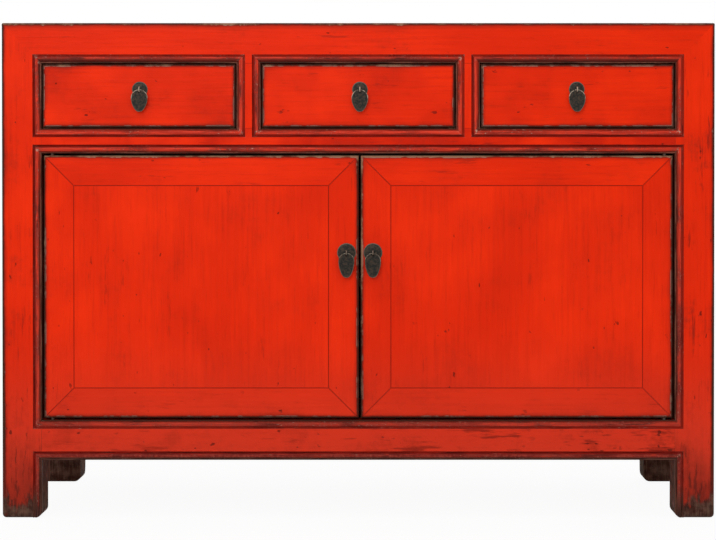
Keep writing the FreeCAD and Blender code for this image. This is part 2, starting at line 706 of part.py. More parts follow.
def domed_plate(name, diameter, spot):
    """Round plate turned about Y, thick in the middle and thin at the rim, bored for the pin."""
    plate = doc.addObject("PartDesign::Body", name)
    profile = new_sketch(plate, name + "_profile", "XY_Plane")
    bore, rim = "shank_radius + shank_clearance", f"{diameter} / 2"
    corners = [(bore, "-plate_dome"), (bore, "0"), (rim, "0"), (rim, "-plate_rim")]
    crown, inside, outside, lip = [FreeCAD.Vector(value(u), value(v), 0) for u, v in corners]
    for start, end in ((crown, inside), (inside, outside), (outside, lip)):
        profile.addGeometry(Part.LineSegment(start, end))
    centre_y = (lip.dot(lip) - crown.dot(crown)) / (2 * (lip.y - crown.y))
    centre = FreeCAD.Vector(0, centre_y, 0)
    halfway = (lip + crown) * 0.5 - centre
    profile.addGeometry(Part.Arc(lip, centre + halfway * ((lip - centre).Length / halfway.Length), crown))
    crown_end = 1 if profile.getPoint(3, 1).isEqual(crown, 1e-6) else 2
    for first, second in (((0, 2), (1, 1)), ((1, 2), (2, 1)), ((3, 3 - crown_end), (2, 2)),
                          ((3, crown_end), (0, 1))):
        profile.addConstraint(Sketcher.Constraint("Coincident", *first, *second))
    for (geometry, end), (u, v) in zip(((0, 1), (1, 1), (2, 1), (2, 2)), corners):
        fix_point(profile, geometry, end, u, v)
    profile.addConstraint(Sketcher.Constraint("PointOnObject", 3, 3, -2))
    turned = plate.newObject("PartDesign::Revolution", name + "_turned")
    turned.Profile = profile
    turned.ReferenceAxis = (origin_part(plate, "Y_Axis"), [""])
    turned.Angle = 360
    place_at(plate, spot)
    return plate


def split_pin(name, spot_x, spot_z, wood):
    """Wire eye on a shank that passes through the wood, with its prongs spread flat behind."""
    eye = doc.addObject("Part::Torus", name + "_eye")
    eye.setExpression("Radius1", formula("eye_radius"))
    eye.setExpression("Radius2", formula("wire_radius"))
    eye.Placement = FreeCAD.Placement(FreeCAD.Vector(), FreeCAD.Rotation(FreeCAD.Vector(0, 1, 0), 90))
    place_at(eye, (spot_x, "eye_y", spot_z))
    shank_y = "eye_y + eye_radius + wire_radius - eye_sink"
    prong_y = f"face_y + {wood} + prong_gap + wire_radius"
    shank = cylinder(name + "_shank", "y", "shank_radius", (spot_x, shank_y, spot_z),
                     f"{prong_y} + wire_radius + prong_cover - ({shank_y})")
    prongs = cylinder(name + "_prongs", "z", "wire_radius", (spot_x, prong_y, f"{spot_z} - prong_length"),
                      "2 * prong_length")
    return fuse(name, [eye, shank, prongs])


def leaf_drop(name, width, length, tip_radius, spot):
    """Flat leaf, round at the shoulders and drawn to a rounded tip, with the hole it hangs by."""
    drop = doc.addObject("PartDesign::Body", name)
    leaf = new_sketch(drop, name + "_leaf", "XZ_Plane")
    half, middle, tip = f"{width} / 2", f"-drop_top - {width} / 2", f"-drop_top - {length}"
    right = FreeCAD.Vector(value(half), value(middle), 0)
    left = FreeCAD.Vector(-right.x, right.y, 0)
    point = FreeCAD.Vector(0, value(tip), 0)
    sweep = (right.x ** 2 + (right.y - point.y) ** 2) / (2 * right.x)

    def bulge(shoulder):
        """Point halfway along the side curve below a shoulder."""
        centre = shoulder * (1 - sweep / right.x) + FreeCAD.Vector(0, right.y * sweep / right.x, 0)
        chord = (shoulder + point) * 0.5 - centre
        return centre + chord * (sweep / chord.Length)

    leaf.addGeometry(Part.Arc(right, FreeCAD.Vector(0, right.y + right.x, 0), left))
    leaf.addGeometry(Part.Arc(left, bulge(left), point))
    leaf.addGeometry(Part.Arc(right, bulge(right), point))
    ends = {"left": [], "right": [], "tip": []}
    for geometry in range(3):
        for end in (1, 2):
            spot_u = leaf.getPoint(geometry, end).x
            key = "tip" if abs(spot_u) < right.x / 2 else "left" if spot_u < 0 else "right"
            ends[key].append((geometry, end))
    for first, second in ends.values():
        leaf.addConstraint(Sketcher.Constraint("Coincident", *first, *second))
    fix_point(leaf, *ends["left"][0], f"-{half}", middle)
    fix_point(leaf, *ends["right"][0], half, middle)
    fix_point(leaf, *ends["tip"][0], "0", tip)
    for geometry in range(3):
        fix_point(leaf, geometry, 3, None, middle)
    pad = drop.newObject("PartDesign::Pad", name + "_pad")
    pad.Profile = leaf
    pad.setExpression("Length", formula("drop_thickness"))
    pad.SideType = "Symmetric"

    ring = new_sketch(drop, name + "_hole", "XZ_Plane")
    hole_z = "-drop_hole_top - drop_hole_radius"
    ring.addGeometry(Part.Circle(FreeCAD.Vector(0, value(hole_z), 0), FreeCAD.Vector(0, 0, 1),
                                 value("drop_hole_radius")))
    size = ring.addConstraint(Sketcher.Constraint("Radius", 0, value("drop_hole_radius")))
    ring.setExpression(f"Constraints[{size}]", formula("drop_hole_radius"))
    fix_point(ring, 0, 3, "0", hole_z)
    hole = drop.newObject("PartDesign::Pocket", name + "_bore")
    hole.Profile = ring
    hole.Type = "ThroughAll"
    hole.SideType = "Symmetric"
    doc.recompute()
    round_edges(drop, name + "_tip", lambda edge: runs_along(edge, 1) and all(
        abs(vertex.Point.z - point.y) < 1e-4 for vertex in edge.Vertexes), tip_radius)
    place_at(drop, spot)
    return drop


def pull(owner, spot_x, spot_z, kind, wood):
    """Complete pull of a drawer or door; gives back the bore that its pin needs through the wood."""
    plate = domed_plate(owner + "_plate", f"{kind}_plate_diameter", (spot_x, "face_y", spot_z))
    pin = split_pin(owner + "_pin", spot_x, spot_z, wood)
    finished(owner + "_pull_plate", group(owner + "_pull_plate", [plate, pin]))
    finished(owner + "_drop", leaf_drop(owner + "_drop", f"{kind}_drop_width", f"{kind}_drop_length",
                                        f"{kind}_drop_tip_radius", (spot_x, "eye_y", spot_z)))
    return cylinder(owner + "_pin_bore", "y", "shank_radius + shank_clearance",
                    (spot_x, "face_y", spot_z), wood)


# Drawers: a front lapped over two sides, a back housed between them and a bottom slid into grooves.
for drawer, step in DRAWERS.items():
    owner = f"drawer_{drawer}"
    middle = f"{step} * drawer_pitch"
    bore = pull(owner, f"{middle} + {drawer}_pull_shift", "drawer_pull_z", "drawer", "drawer_front_thickness")
    front = box(owner + "_front_stock", (f"{middle} - drawer_half", "face_y", "drawer_bottom_z + drawer_gap"),
                (f"{middle} + drawer_half", "drawer_front_back_y", "drawer_top_z - drawer_gap"))
    walls = []
    for side in (-1, 1):
        near, far = span(side, "drawer_inner", "drawer_half")
        walls.append(box(f"{owner}_wall_{len(walls)}",
                         (f"{middle} + {near}", "drawer_front_back_y - drawer_lap", "drawer_low_z"),
                         (f"{middle} + {far}", "drawer_end_y", "drawer_side_top_z")))
    back = box(owner + "_back",
               (f"{middle} - drawer_inner - drawer_back_housing",
                "drawer_end_y - drawer_back_inset - drawer_side_thickness", "drawer_floor_top_z"),
               (f"{middle} + drawer_inner + drawer_back_housing",
                "drawer_end_y - drawer_back_inset", "drawer_side_top_z"))
    seat = box(owner + "_bottom_seat",
               (f"{middle} - drawer_inner - drawer_floor_groove", "drawer_front_back_y - drawer_floor_groove",
                "drawer_floor_z"),
               (f"{middle} + drawer_inner + drawer_floor_groove", "drawer_end_y", "drawer_floor_top_z"))
    floor = box(owner + "_bottom",
                (f"{middle} - drawer_inner - drawer_floor_groove + drawer_floor_play",
                 "drawer_front_back_y - drawer_floor_groove + drawer_floor_play", "drawer_floor_z"),
                (f"{middle} + drawer_inner + drawer_floor_groove - drawer_floor_play",
                 "drawer_end_y - drawer_back_inset", "drawer_floor_top_z"))
    finished(owner + "_front", cut(owner + "_front", front, walls + [seat, bore]))
    finished(owner + "_sides", group(owner + "_sides", [
        cut(f"{owner}_side_{i}", wall, [seat, back]) for i, wall in enumerate(walls)]))
    finished(owner + "_back", back)
    finished(owner + "_bottom", floor)

# Doors: mitred frames with hidden tenons, a flush panel tongued into them, two battens and two pivot pins.
for hand, side in HANDS.items():
    owner = f"door_{hand}"
    inward = -side
    outer = f"{side} * door_outer_x"
    inner = f"meeting_shift + {side} * meeting_gap / 2"
    outer_frame = f"{outer} + {inward} * door_frame_width"
    inner_frame = f"{inner} - ({inward}) * door_frame_width"
    low, high = "door_low_z", "door_high_z"
    low_frame, high_frame = "door_low_z + door_frame_width", "door_high_z - door_frame_width"

    def between(start, end):
        """The two ends in rising order, whichever way the door is hung."""
        return (start, end) if value(start) < value(end) else (end, start)

    shapes = {
        "outer_stile": [(outer, low), (outer, high), (outer_frame, high_frame), (outer_frame, low_frame)],
        "inner_stile": [(inner, low), (inner, high), (inner_frame, high_frame), (inner_frame, low_frame)],
        "top_rail": [(outer, high), (inner, high), (inner_frame, high_frame), (outer_frame, high_frame)],
        "low_rail": [(outer, low), (inner, low), (inner_frame, low_frame), (outer_frame, low_frame)],
    }
    members = {name: prism(f"{owner}_{name}_stock", "XZ_Plane", corners, "face_y", "door_thickness")
               for name, corners in shapes.items()}
    tenons = {}
    for edge, (start, way) in {"outer": (outer, inward), "inner": (inner, side)}.items():
        reach = between(f"{start} + ({way}) * door_tenon_margin", f"{start} + ({way}) * door_tenon_inner")
        for level, (low_z, high_z) in {
                "top_rail": ("door_high_z - door_tenon_inner", "door_high_z - door_tenon_margin"),
                "low_rail": ("door_low_z + door_tenon_margin", "door_low_z + door_tenon_inner")}.items():
            tenons[edge, level] = box(f"{owner}_{edge}_{level}_tenon", (reach[0], "door_tongue_y", low_z),
                                      (reach[1], "door_panel_back_y", high_z))
    panel_x = between(outer_frame, inner_frame)
    seat = box(owner + "_panel_seat",
               (f"{panel_x[0]} - door_panel_groove", "door_tongue_y", f"{low_frame} - door_panel_groove"),
               (f"{panel_x[1]} + door_panel_groove", "door_panel_back_y",
                f"{high_frame} + door_panel_groove"))
    face = box(owner + "_panel_face",
               (f"{panel_x[0]} + joint_line", "face_y", f"{low_frame} + joint_line"),
               (f"{panel_x[1]} - joint_line", "door_tongue_y", f"{high_frame} - joint_line"))
    tongue = box(owner + "_panel_tongue",
                 (f"{panel_x[0]} - door_panel_groove + panel_play", "door_tongue_y",
                  f"{low_frame} - door_panel_groove + panel_play"),
                 (f"{panel_x[1]} + door_panel_groove - panel_play", "door_panel_back_y",
                  f"{high_frame} + door_panel_groove - panel_play"))
    finished(owner + "_panel", fuse(owner + "_panel", [face, tongue]))
    finished(owner + "_battens", group(owner + "_battens", [
        box(f"{owner}_batten_{place}",
            (panel_x[0], "door_panel_back_y", f"{middle} - door_batten_height / 2"),
            (panel_x[1], "door_back_y", f"{middle} + door_batten_height / 2"))
        for place, middle in enumerate(("door_mid_z - door_batten_spread / 2",
                                        "door_mid_z + door_batten_spread / 2"))]))

    pivot = f"{side} * pivot_x"
    high_pin = ("door_high_z - pivot_sunk", "pivot_sunk + door_gap + pivot_top_reach")
    low_pin = ("door_bottom_z - pivot_low_reach", "pivot_sunk + door_gap + pivot_low_reach")
    pins, bores = [], []
    for place, (start, length) in {"high": high_pin, "low": low_pin}.items():
        pins.append(cylinder(f"{owner}_pin_{place}", "z", "pivot_radius", (pivot, "pivot_y", start), length))
        bores.append(cylinder(f"{owner}_pin_seat_{place}", "z", "pivot_radius + press_clearance",
                              (pivot, "pivot_y", start), length))
    finished(owner + "_pivot_pins", group(owner + "_pivot_pins", pins))
    bore = pull(owner, f"{inner} + ({side}) * door_pull_inset", "door_pull_z", "door", "door_thickness")

    stiles = [cut(f"{owner}_outer_stile", members["outer_stile"],
                  [seat, tenons["outer", "top_rail"], tenons["outer", "low_rail"]] + bores),
              cut(f"{owner}_inner_stile", members["inner_stile"],
                  [seat, tenons["inner", "top_rail"], tenons["inner", "low_rail"], bore])]
    finished(owner + "_stiles", group(owner + "_stiles", stiles))
    rails = [cut(f"{owner}_{level}", fuse(f"{owner}_{level}_joined", [
        members[level], tenons["outer", level], tenons["inner", level]]), [seat] + bores)
        for level in ("top_rail", "low_rail")]
    finished(owner + "_rails", group(owner + "_rails", rails))

# Finished pieces, checked and written one file each.
doc.recompute()
for item in doc.Objects:
    if "Invalid" in item.State or "Error" in item.State:
        raise RuntimeError(f"{item.Name} did not compute: {item.State}")
os.makedirs("parts", exist_ok=True)
for name, item in PIECES.items():
    if item.Shape.isNull() or not item.Shape.isValid() or not item.Shape.Solids:
        raise RuntimeError(name + " is not a sound solid")
    item.Shape.exportStep(f"parts/{name}.step")
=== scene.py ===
import bmesh
import bpy
from math import atan2, pi, radians, sqrt
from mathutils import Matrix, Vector


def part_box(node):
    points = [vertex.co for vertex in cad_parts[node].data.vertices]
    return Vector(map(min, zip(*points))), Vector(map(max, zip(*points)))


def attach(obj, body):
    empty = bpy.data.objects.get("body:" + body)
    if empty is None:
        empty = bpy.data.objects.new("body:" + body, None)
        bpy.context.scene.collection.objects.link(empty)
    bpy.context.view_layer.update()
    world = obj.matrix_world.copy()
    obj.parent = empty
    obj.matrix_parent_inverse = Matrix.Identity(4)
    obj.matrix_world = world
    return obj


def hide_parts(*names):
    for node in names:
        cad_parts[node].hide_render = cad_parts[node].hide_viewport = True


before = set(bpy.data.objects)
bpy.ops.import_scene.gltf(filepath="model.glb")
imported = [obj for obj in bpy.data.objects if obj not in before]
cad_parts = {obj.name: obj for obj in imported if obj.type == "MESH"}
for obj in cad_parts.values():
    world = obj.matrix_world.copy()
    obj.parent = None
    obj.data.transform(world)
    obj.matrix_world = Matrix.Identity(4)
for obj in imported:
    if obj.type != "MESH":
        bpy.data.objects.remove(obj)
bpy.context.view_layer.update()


# Legs: four straight posts of elm under red lacquer, 70 by 52 mm, running from the floor to the top
# corners. Each head is sawn to a three-way mitre with the top frame, the feet are rounded by wear, and
# a shallow rebate along the inner edges takes the bead frame of every opening.
def only(piece):
    """Leaves one piece selected and active."""
    bpy.ops.object.select_all(action="DESELECT")
    piece.select_set(True)
    bpy.context.view_layer.objects.active = piece


def plank(name, one, other):
    """A squared-up board between two opposite corners."""
    low = Vector([min(pair) for pair in zip(one, other)])
    high = Vector([max(pair) for pair in zip(one, other)])
    bpy.ops.object.select_all(action="DESELECT")
    bpy.ops.mesh.primitive_cube_add(size=1, location=(low + high) / 2, scale=high - low)
    bpy.ops.object.transform_apply(location=True, rotation=True, scale=True)
    board = bpy.context.object
    board.name = board.data.name = name
    return board


def join(pieces):
    """Glues pieces into the first one."""
    only(pieces[0])
    for piece in pieces[1:]:
        piece.select_set(True)
    bpy.ops.object.join()
    return pieces[0]


def pick(piece, kind, wanted):
    """Opens a piece for editing with only the wanted verts, edges or faces selected."""
    only(piece)
    bpy.ops.object.mode_set(mode="EDIT")
    bpy.ops.mesh.select_mode(type=kind)
    bpy.ops.mesh.select_all(action="DESELECT")
    form = bmesh.from_edit_mesh(piece.data)
    for part in {"VERT": form.verts, "EDGE": form.edges, "FACE": form.faces}[kind]:
        if wanted(part):
            part.select_set(True)
    bmesh.update_edit_mesh(piece.data)


def lies(edge, **planes):
    """Whether an edge lies on the named planes, such as x=0.5."""
    return all(abs(getattr(vert.co, axis) - place) < 1e-5
               for vert in edge.verts for axis, place in planes.items())


def ease(piece, radius, steps, wanted):
    """Rounds the wanted arrises."""
    pick(piece, "EDGE", wanted)
    bpy.ops.mesh.bevel(offset=radius, segments=steps, profile=0.5, affect="EDGES")
    bpy.ops.object.mode_set(mode="OBJECT")


def saw(piece, at, away):
    """Saws through a point and drops what lies on the far side."""
    only(piece)
    bpy.ops.object.mode_set(mode="EDIT")
    bpy.ops.mesh.select_all(action="SELECT")
    bpy.ops.mesh.bisect(plane_co=at, plane_no=Vector(away).normalized(), use_fill=True, clear_outer=True)
    bpy.ops.object.mode_set(mode="OBJECT")


def cut_away(piece, tool):
    """Takes the tool's shape out of a piece."""
    cut = piece.modifiers.new("cut", "BOOLEAN")
    cut.operation = "DIFFERENCE"
    cut.solver = "EXACT"
    cut.object = tool
    only(piece)
    bpy.ops.object.modifier_apply(modifier=cut.name)


def fitted(piece, body, slot, finish, *nodes):
    """Smooths the rounded arrises, keeps the flats flat, and gives a piece its finish and its body."""
    only(piece)
    bpy.ops.object.shade_smooth_by_angle(angle=radians(38))
    flats = piece.modifiers.new("flats", "WEIGHTED_NORMAL")
    flats.keep_sharp = True
    bpy.ops.object.modifier_apply(modifier=flats.name)
    piece.data.materials.clear()
    piece.data.materials.append(finish)
    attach(piece, body)
    if nodes:
        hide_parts(*nodes)


class Tone:
    """A value, colour or vector of a finish. Sums on it add Math nodes."""

    def __init__(self, tree, socket=None):
        self.tree = tree
        self.socket = socket

    def node(self, kind, settings=None, sockets=None, out=0):
        made = self.tree.nodes.new("ShaderNode" + kind)
        for name, value in (settings or {}).items():
            setattr(made, name, value)
        for key, value in (sockets or {}).items():
            if isinstance(value, Tone):
                self.tree.links.new(value.socket, made.inputs[key])
            else:
                made.inputs[key].default_value = value
        return Tone(self.tree, made.outputs[out])

    def sum(self, operation, *terms):
        return self.node("Math", {"operation": operation}, dict(enumerate(terms)))

    def __add__(self, other):
        return self.sum("ADD", self, other)

    def __radd__(self, other):
        return self.sum("ADD", other, self)

    def __sub__(self, other):
        return self.sum("SUBTRACT", self, other)

    def __rsub__(self, other):
        return self.sum("SUBTRACT", other, self)

    def __mul__(self, other):
        return self.sum("MULTIPLY", self, other)

    def __rmul__(self, other):
        return self.sum("MULTIPLY", other, self)

    def __abs__(self):
        return self.sum("ABSOLUTE", self)

    def least(self, other):
        return self.sum("MINIMUM", self, other)

    def most(self, other):
        return self.sum("MAXIMUM", self, other)

    def fade(self, start, end):
        """0 at start, 1 at end, soft between."""
        return self.node("MapRange", {"interpolation_type": "SMOOTHSTEP"}, {0: self, 1: start, 2: end})

    def between(self, first, second):
        """A colour from the first to the second as this value goes from 0 to 1."""
        return self.node("Mix", {"data_type": "RGBA"}, {0: self, 6: first, 7: second}, out=2)

    def over(self, mask, colour):
        """This colour with another laid over it where the mask is."""
        return mask.between(self, colour)

    def cloud(self, scale, detail=3.0, rough=0.55, squeeze=(1, 1, 1), shift=(0, 0, 0)):
        """Noise at this place, drawn out along the axes that are squeezed."""
        laid = self.node("Mapping", sockets={"Vector": self, "Location": shift, "Scale": squeeze})
        return self.node("TexNoise", sockets={
            "Vector": laid, "Scale": scale, "Detail": detail, "Roughness": rough})

    def axes(self):
        """The three parts of a place."""
        return [self.node("SeparateXYZ", sockets={0: self}, out=axis) for axis in range(3)]


def shade(red, green, blue):
    """A colour as a photograph gives it, 0 to 255, as the shader needs it."""
    parts = [part / 255 for part in (red, green, blue)]
    return tuple(p / 12.92 if p <= 0.04045 else ((p + 0.055) / 1.055) ** 2.4 for p in parts) + (1,)


def blank_finish(name):
    """A new finish, its shader, and the place on the piece."""
    finish = bpy.data.materials.new(name)
    finish.use_nodes = True
    return finish, finish.node_tree.nodes["Principled BSDF"], Tone(finish.node_tree).node("TexCoord", out=3)


def connect(shader, colour, rough, height, depth):
    """Feeds a finish's colour, roughness and relief to its shader."""
    tree = colour.tree
    tree.links.new(colour.socket, shader.inputs["Base Color"])
    tree.links.new(rough.socket, shader.inputs["Roughness"])
    relief = colour.node("Bump", sockets={"Strength": 1.0, "Distance": depth, "Height": height})
    tree.links.new(relief.socket, shader.inputs["Normal"])


def drawn_out(along, share):
    """Squeeze of a pattern that runs along one axis."""
    return tuple(share if axis == along else 1 for axis in range(3))


def lacquer(name, low, high, along, wear=0.002, soft=0.0085, tan=0.5, pale=0.5, deep=0.3, dirt=0.3, feet=0,
            joint=None, bare=None, rubbed=None):
    """Old vermilion lacquer on a board: grain along one axis, dirt and knocks, and the arrises of the box
    between two corners rubbed through to a pale ground and dark wood, with a painted shadow beside them,
    and the bare wood painted lighter on arrises that face up and darker on those that face down.

    Wear and soft are widths of the bare edge and of the painted shadow beside it; tan, pale, deep and dirt
    are amounts of tan wood, pale ground, deep red and dirt; feet is the height of a foot's bare end. Joint
    gives the distance to a glue line, bare a mask of raw wood, and rubbed a mask of arrises whose bare wood
    gets a painted highlight."""
    finish, shader, spot = blank_finish(name)
    x, y, z = spot.axes()
    if callable(dirt):
        dirt = dirt(x)
    streak = spot.cloud(190, 5, 0.62, drawn_out(along, 0.045))
    fine = spot.cloud(620, 3, 0.6, drawn_out(along, 0.06))
    broad = spot.cloud(6.5, 4, 0.55, drawn_out(along, 0.5))
    nibble = spot.cloud(70, 5, 0.62)
    patch = spot.cloud(10, 3, 0.5, (1, 1, 1), (3.1, 1.7, 0.4))
    low_down = z.fade(0.36, 0.08)

    # the coat: vermilion, redder in patches and along the grain, duller and paler towards the floor,
    # which is a painted reflection of the pale floor
    vermilion, scarlet, crimson = shade(238, 46, 4), shade(220, 38, 1), shade(196, 30, 2)
    grain_red, dull_red = shade(176, 28, 4), shade(196, 54, 32)
    body = (broad * 0.72 + streak * 0.28).fade(0.36, 0.64).between(vermilion, scarlet)
    body = body.over(patch.fade(0.30, 0.70) * deep, crimson)
    body = body.over((fine - 0.5 + (streak - 0.5) * 0.8).fade(0.06, 0.30) * 0.22, grain_red)
    body = body.over(low_down * 0.80, dull_red)

    # dirt and damage: grime in patches, smears, scratches and knocks, and the glue lines
    grime_brown, smear_brown, scratch_brown = shade(150, 34, 16), shade(112, 24, 12), shade(120, 24, 12)
    knock_brown, glue_red = shade(80, 20, 10), shade(112, 14, 5)
    grime = (patch * 0.5 + nibble * 0.3 + streak * 0.2 + low_down * 0.05).fade(0.52, 0.68)
    body = body.over(grime * dirt, grime_brown)
    smear = spot.cloud(75, 4, 0.66, drawn_out(along, 0.13), (1.9, 0.6, 2.2))
    smears = (smear + low_down * 0.05 + (patch - 0.5) * 0.3 + (dirt - 0.3) * 0.10).fade(0.64, 0.74)
    if feet:
        smears = smears * z.fade(0.83, 0.79)
    body = body.over(smears * (0.2 + 0.6 * dirt), smear_brown)
    knock = spot.cloud(105, 2, 0.45, drawn_out(along, 0.55), (0.7, 2.3, 5.1))
    knocks = (knock + low_down * 0.03 + (dirt - 0.3) * 0.10).fade(0.715, 0.76) * patch.fade(0.42, 0.56)
    scratch = spot.cloud(300, 2, 0.5, drawn_out(along, 0.03), (4.0, 0.3, 1.9))
    scratches = scratch.fade(0.73, 0.77) * patch.fade(0.50, 0.62)
    body = body.over(scratches * 0.55, scratch_brown)
    body = body.over(knocks * 0.75, knock_brown)
    if joint:
        line = joint(x, y, z) + (nibble - 0.5) * 0.0005
        body = body.over(line.fade(0.0015, 0.0002) * (0.95 - patch * 0.6), glue_red)

    # worn arrises: a painted shadow along them, then a dark border, then chalky ground, then wood, brown or
    # tan, painted lighter on arrises facing up and darker on those facing down
    edge_shade_red, burnt_red, chalk = shade(140, 30, 14), shade(104, 20, 9), shade(190, 136, 122)
    brown_wood, tan_wood = shade(52, 32, 22), shade(136, 102, 76)
    dx, dy, dz = [(b - a) / 2 - abs(place - (a + b) / 2) for place, a, b in zip((x, y, z), low, high)]
    edge = dx.least(dy).most(dx.most(dy).least(dz))
    corner = (dx + dy + dz - dx.most(dy).most(dz)).fade(0.026, 0.004)
    rub = edge - (nibble - 0.5) * 0.0034 - (patch - 0.5) * 0.004 - corner * 0.0012
    if feet:
        rub = rub - z.fade(0.45, 0.0) * 0.0024
    # painted shadow: the lacquer is darkened beside every arris, as the shade of the rounded edge
    shadow = (edge - (streak - 0.5) * 0.006 - (patch - 0.5) * 0.010).fade(wear + soft, wear - 0.001)
    halo = rub.fade(wear + 0.0022, wear)
    ground = rub.fade(wear + 0.0003, wear - 0.0003) * (nibble + patch * 0.6).fade(
        0.98 - 0.36 * pale, 1.08 - 0.36 * pale)
    wood = rub.fade(wear * 0.72 + 0.0005, wear * 0.72 - 0.0005)
    # painted light: bare wood lighter on arrises facing up and darker on those facing down, as lit from above,
    # and lighter still where the rubbed mask gives a painted highlight
    lit_bias = (z - high[2]).fade(-0.012, -0.006) * 0.12 - (low[2] - z).fade(-0.012, -0.006) * 0.10
    if rubbed:
        lit_bias = lit_bias + rubbed(x, y, z) * 0.12
    wood_tone_and_light = nibble * 0.4 + patch * 0.4 + streak * 0.2 + lit_bias
    timber = wood_tone_and_light.fade(0.60 - 0.20 * tan, 0.76 - 0.20 * tan).between(brown_wood, tan_wood)
    body = body.over(shadow * 0.62, edge_shade_red)
    body = body.over(halo * 0.70, burnt_red)
    body = body.over(ground * 0.66, chalk)
    body = body.over(wood * 0.90, timber)
    if feet:
        damp_red, stroke_brown = shade(104, 30, 20), shade(70, 24, 16)
        end_dark, end_light = shade(48, 31, 24), shade(96, 72, 60)
        inner_dark, inner_light = shade(48, 32, 24), shade(84, 58, 44)
        smudge = spot.cloud(46, 5, 0.62, (1, 1, 0.5), (0.2, 0.9, 0.0))
        climb = z - (smudge - 0.5) * 0.13 - (streak - 0.5) * 0.03
        body = body.over(climb.fade(feet + 0.15, feet - 0.01) * 0.68, damp_red)
        stroke = spot.cloud(150, 4, 0.64, (1, 1, 0.16), (1.4, 0.5, 2.0))
        strokes = (stroke + z.fade(0.16, 0.02) * 0.11).fade(0.61, 0.70) * z.fade(0.17, 0.10)
        body = body.over(strokes * 0.6, stroke_brown)
        scuff = climb.fade(feet + 0.012, feet - 0.010)
        body = body.over(scuff * 0.94, (fine * 0.4 + nibble * 0.6).fade(0.40, 0.64).between(
            end_dark, end_light))
        within = (leg_inner + 0.0003 - abs(x)).fade(-0.0003, 0.0003) * (smudge + streak * 0.3).fade(0.40, 0.62)
        body = body.over(within * 0.9, nibble.fade(0.40, 0.60).between(inner_dark, inner_light))
        wood = wood.most(scuff).most(within)
    if bare:
        raw_light, raw_dark = shade(150, 108, 72), shade(98, 66, 43)
        inside = bare(x, y, z)
        body = body.over(inside, (streak * 0.6 + fine * 0.4).fade(0.36, 0.66).between(raw_light, raw_dark))
        wood = wood.most(inside)

    shader.inputs["Specular IOR Level"].default_value = 0.07
    rough = 0.34 + (streak - 0.5) * 0.16 + grime * 0.06 + wood * 0.50
    height = streak * 0.35 + fine * 0.16 + broad * 0.8 - knocks * 0.9 - wood * 0.5 - scratches * 0.3
    connect(shader, body, rough, height, 0.0009)
    return finish


front, back, top = -0.19435, 0.20565, 0.882
leg_outer, leg_inner, leg_depth, foot_round, arris = 0.635, 0.5645, 0.052, 0.012, 0.004
end_front, end_back, end_middle, end_half, end_inside = -0.14235, 0.15365, 0.00565, 0.1480, 0.6262
top_low, mid_high, mid_low, low_high, low_low = 0.8105, 0.694, 0.650, 0.174, 0.103
upright_near, upright_far, under_floor = 0.17383, 0.21683, -0.03
slope_x, slope_y, slope_z = 1 / 70.5, 1 / 52, 1 / 71.5
hands = {"left": -1, "right": 1}
forward = (0, -1, 0)
openings = {
    "drawer_left": ((-leg_inner, front, mid_high), (-upright_far, front, top_low), forward),
    "drawer_middle": ((-upright_near, front, mid_high), (upright_near, front, top_low), forward),
    "drawer_right": ((upright_far, front, mid_high), (leg_inner, front, top_low), forward),
    "doors": ((-leg_inner, front, low_high), (leg_inner, front, mid_low), forward),
    "feet_front": ((-leg_inner, front, under_floor), (leg_inner, front, low_low), forward),
}
for hand, side in hands.items():
    for kind, low_z, high_z in (("side_", low_high, top_low), ("feet_", under_floor, low_low)):
        openings[kind + hand] = (
            (side * leg_outer, end_front, low_z), (side * leg_outer, end_back, high_z), (side, 0, 0))

ring_width, rebate_depth, overcut = 0.0155, 0.010, 0.004
rebates = []
for name, (low, high, out) in openings.items():
    out = Vector(out)
    spread = Vector([0 if part else ring_width for part in out])
    rebates.append(plank("rebate_" + name, Vector(low) - spread + out * overcut,
                         Vector(high) + spread - out * rebate_depth))
rebate = join(rebates)


def shell(x, y, z):
    """Mask of the frame's inner faces, which were never lacquered. Its limits lie just past those faces."""
    leg_limit, front_limit, back_limit = 0.5650, -0.1660, 0.1876
    end_front_limit, end_back_limit, low_limit, high_limit = -0.1428, 0.1541, 0.108, 0.8806
    between_legs = (leg_limit - abs(x)).least(y - front_limit).least(back_limit - y)
    between_ends = (end_inside - abs(x)).least(y - end_front_limit).least(end_back_limit - y)
    return (between_legs.most(between_ends).fade(-0.0004, 0.0004) * (z - low_limit).fade(-0.001, 0.001)
            * (high_limit - z).fade(-0.0004, 0.0004))


for place, near, inward in (("front", front, 1), ("back", back, -1)):
    for hand, side in hands.items():
        name = f"leg_{place}_{hand}"
        outer, inner, far = side * leg_outer, side * leg_inner, near + inward * leg_depth
        leg = plank(name + "_post", (outer, near, 0), (inner, far, top))
        ease(leg, foot_round, 6, lambda edge: lies(edge, x=inner, z=0))
        ease(leg, 0.007, 5, lambda edge: lies(edge, x=outer, z=0))
        ease(leg, arris, 4, lambda edge: lies(edge, y=near) and (
            lies(edge, x=outer) or all(vert.co.z < foot_round + 0.0005 for vert in edge.verts)))
        saw(leg, (outer, near, top), (-side * slope_x, 0, slope_z))
        saw(leg, (outer, near, top), (0, inward * slope_y, slope_z))
        cut_away(leg, rebate)
        bare_end = 0.115 if place == "back" else 0.022 if side < 0 else 0.034
        fitted(leg, "carcass", "red_lacquer", lacquer(
            name + "_lacquer", (min(outer, 0), min(near, 0), 0), (max(outer, 0), max(near, 0), 1), 2,
            wear=0.0032, tan=0.0, pale=0.1, dirt=0.4 if side < 0 else 0.6, feet=bare_end, bare=shell), name)


